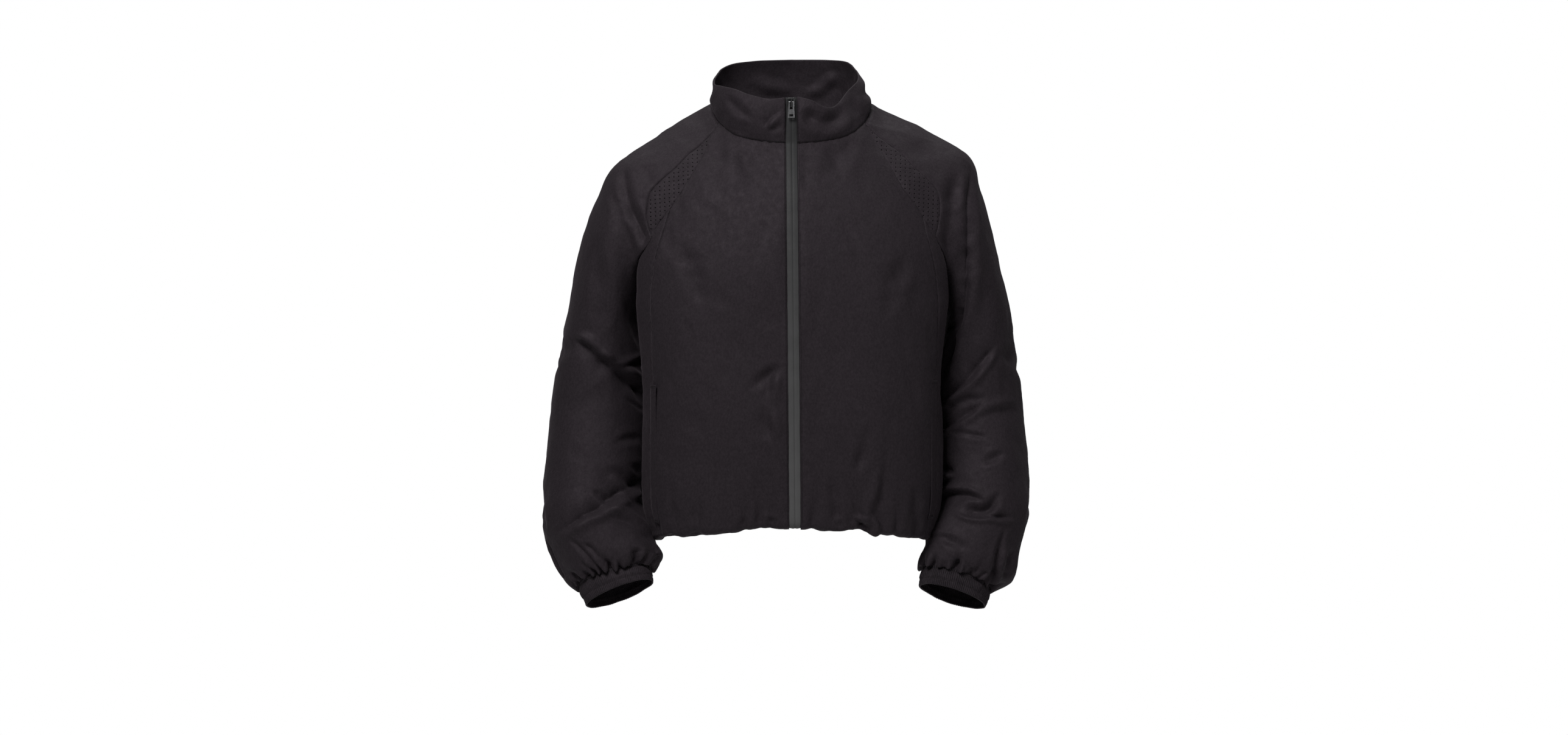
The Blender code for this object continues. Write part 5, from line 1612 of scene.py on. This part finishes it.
def make_collar():
    grid = join_halves(collar_half(LEFT), collar_half(RIGHT))
    collar = Cloth("collar", grid, outwards(grid))
    for edge, reach in COLLAR_HOLD.items():
        collar.hold(edge, reach)
    collar.sew("first_row", SEEDS["neck"])
    fold([collar], COLLAR_PLANE, COLLAR_FOLDS, "collar", SEEDS["collar"])
    grid_mesh("collar_cloth", turned_collar(collar), shell, wall=0)
    return collar


def make_tape(side, name, front, collar):
    """One zip tape; gives back the lines of stitches beside it on the front and on the collar."""
    tape = tape_cloth(side, f"zip_tape_{name}")
    grid_mesh(tape.name + "_cloth", tape.shaped(), tape_finish, wall=TAPE_WALL)
    low = line_beside(front.shaped(), front.shaped_normals(), front.runs["first_column"], ZIP_STITCH,
                      CLOTH_WALL / 2 + STITCH_RAISE["front"])
    edge, way = ("first_column", 1) if side == LEFT else ("last_column", -1)
    grids = [grid[:, ::way] for grid in (collar.shaped(), collar.shaped_normals(), collar.runs[edge])]
    high = line_beside(*grids, ZIP_STITCH, COLLAR_SKIN[0] + STITCH_RAISE["collar"])
    return [[line[len(HEM_ANGLES):] for line in low], high]


def make_welt(side, name):
    """One pocket welt; gives back the rows of stitches that tack its ends."""
    grid = welt_grid(side)
    welt = Cloth(f"pocket_welt_{name}", grid, outwards(grid))
    welt.lift += np.linspace(*WELT_LIFT, grid.shape[1])
    grid_mesh(welt.name + "_cloth", welt.shaped(), shell, wall=WELT_WALL)
    return [welt.row_line(row, TACK_RAISE) for row in TACK_ROWS]


def make_casing():
    grid = join_halves(casing_grid(LEFT), casing_grid(RIGHT))
    crumple = CASING_CRUMPLE * waves(grid * (1, 1, 0.2), CASING_CRUMPLE_LENGTH, SEEDS["casing"])
    grid_mesh("hem_casing_cloth", grid + outwards(grid) * crumple[..., None], shell)


body = make_body()
cuff_lines = [line for side, name in SIDES for line in make_sleeve(side, name)]
collar = make_collar()
zip_lines = []
pocket_lines = []
for side, name in SIDES:
    zip_lines += make_tape(side, name, body[f"front_{name}"], collar)
    pocket_lines += make_welt(side, name)
grids = (collar.shaped(), collar.shaped_normals(), collar.runs["first_row"])
grids = [np.swapaxes(grid, 0, 1) for grid in grids]
neck_line = line_beside(*grids, NECK_STITCH, COLLAR_SKIN[0] + STITCH_RAISE["neck"])
make_casing()
for name, lines in (("zip_stitches", zip_lines), ("pocket_stitches", pocket_lines),
                    ("cuff_stitches", cuff_lines), ("neck_stitches", [neck_line])):
    beads(name, lines, sewing)

for name, finish in (("zip_slider", black_enamel()), ("zip_pull_tab", gunmetal())):
    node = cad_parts[name]
    node.data.materials.clear()
    node.data.materials.append(finish)

for name, (width, length, area, held) in CUTS.items():
    for end in ("_left", "_right", ""):
        node = name + end
        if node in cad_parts:
            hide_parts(node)


# ---- floor, light and camera ----
FLOOR_HEIGHT = -1.45
FLOOR_RADIUS = 3.3
LIGHTS = (  # name, place, aim, width, height, watts
    ("key", (-0.9, -2.0, 1.9), (0, 0, -0.10), 1.1, 1.1, 64.0),
    ("fill", (2.2, -2.3, 0.9), (0, 0, -0.3), 1.6, 1.6, 12.0),
    ("top", (0.1, 0.9, 2.3), (0, 0, -0.3), 2.4, 1.4, 24.0),
)
WHITE = (1.0, 1.0, 1.0, 1.0)
WORLD_LIGHT = 0.10
SENSOR = 36.0
LENS = 59.39

bpy.ops.mesh.primitive_circle_add(
    vertices=96, radius=FLOOR_RADIUS, fill_type="NGON", location=(0, 0, FLOOR_HEIGHT)
)
floor = bpy.context.object
floor.name = "floor"
floor.data.materials.append(floor_paint())

for name, place, aim, width, height, watts in LIGHTS:
    light = bpy.data.lights.new(name, "AREA")
    light.shape = "RECTANGLE"
    light.size = width
    light.size_y = height
    light.energy = watts
    lamp = bpy.data.objects.new(name, light)
    lamp.location = place
    lamp.rotation_euler = (Vector(aim) - Vector(place)).to_track_quat("-Z", "Y").to_euler()
    bpy.context.scene.collection.objects.link(lamp)

world = bpy.data.worlds.new("studio")
nodes = Nodes(world)
seen_white = nodes.node("ShaderNodeBackground", Strength=1.0, Color=WHITE)
lit = nodes.node("ShaderNodeBackground", Strength=WORLD_LIGHT, Color=WHITE)
path = nodes.node("ShaderNodeLightPath")
both = nodes.node("ShaderNodeMixShader")
output = nodes.node("ShaderNodeOutputWorld")
nodes.link(path.outputs["Is Camera Ray"], both.inputs["Fac"])
nodes.link(lit.outputs["Background"], both.inputs[1])
nodes.link(seen_white.outputs["Background"], both.inputs[2])
nodes.link(both.outputs["Shader"], output.inputs["Surface"])
bpy.context.scene.world = world
bpy.context.scene.view_settings.view_transform = "Standard"

camera_data = bpy.data.cameras.new("camera")
camera_data.sensor_width = SENSOR
camera_data.lens = LENS
camera_data.clip_end = 60.0
camera = bpy.data.objects.new("camera", camera_data)
camera.location = EYE * MM
camera.rotation_euler = (np.radians(90), 0, 0)
bpy.context.scene.collection.objects.link(camera)
bpy.context.scene.camera = camera
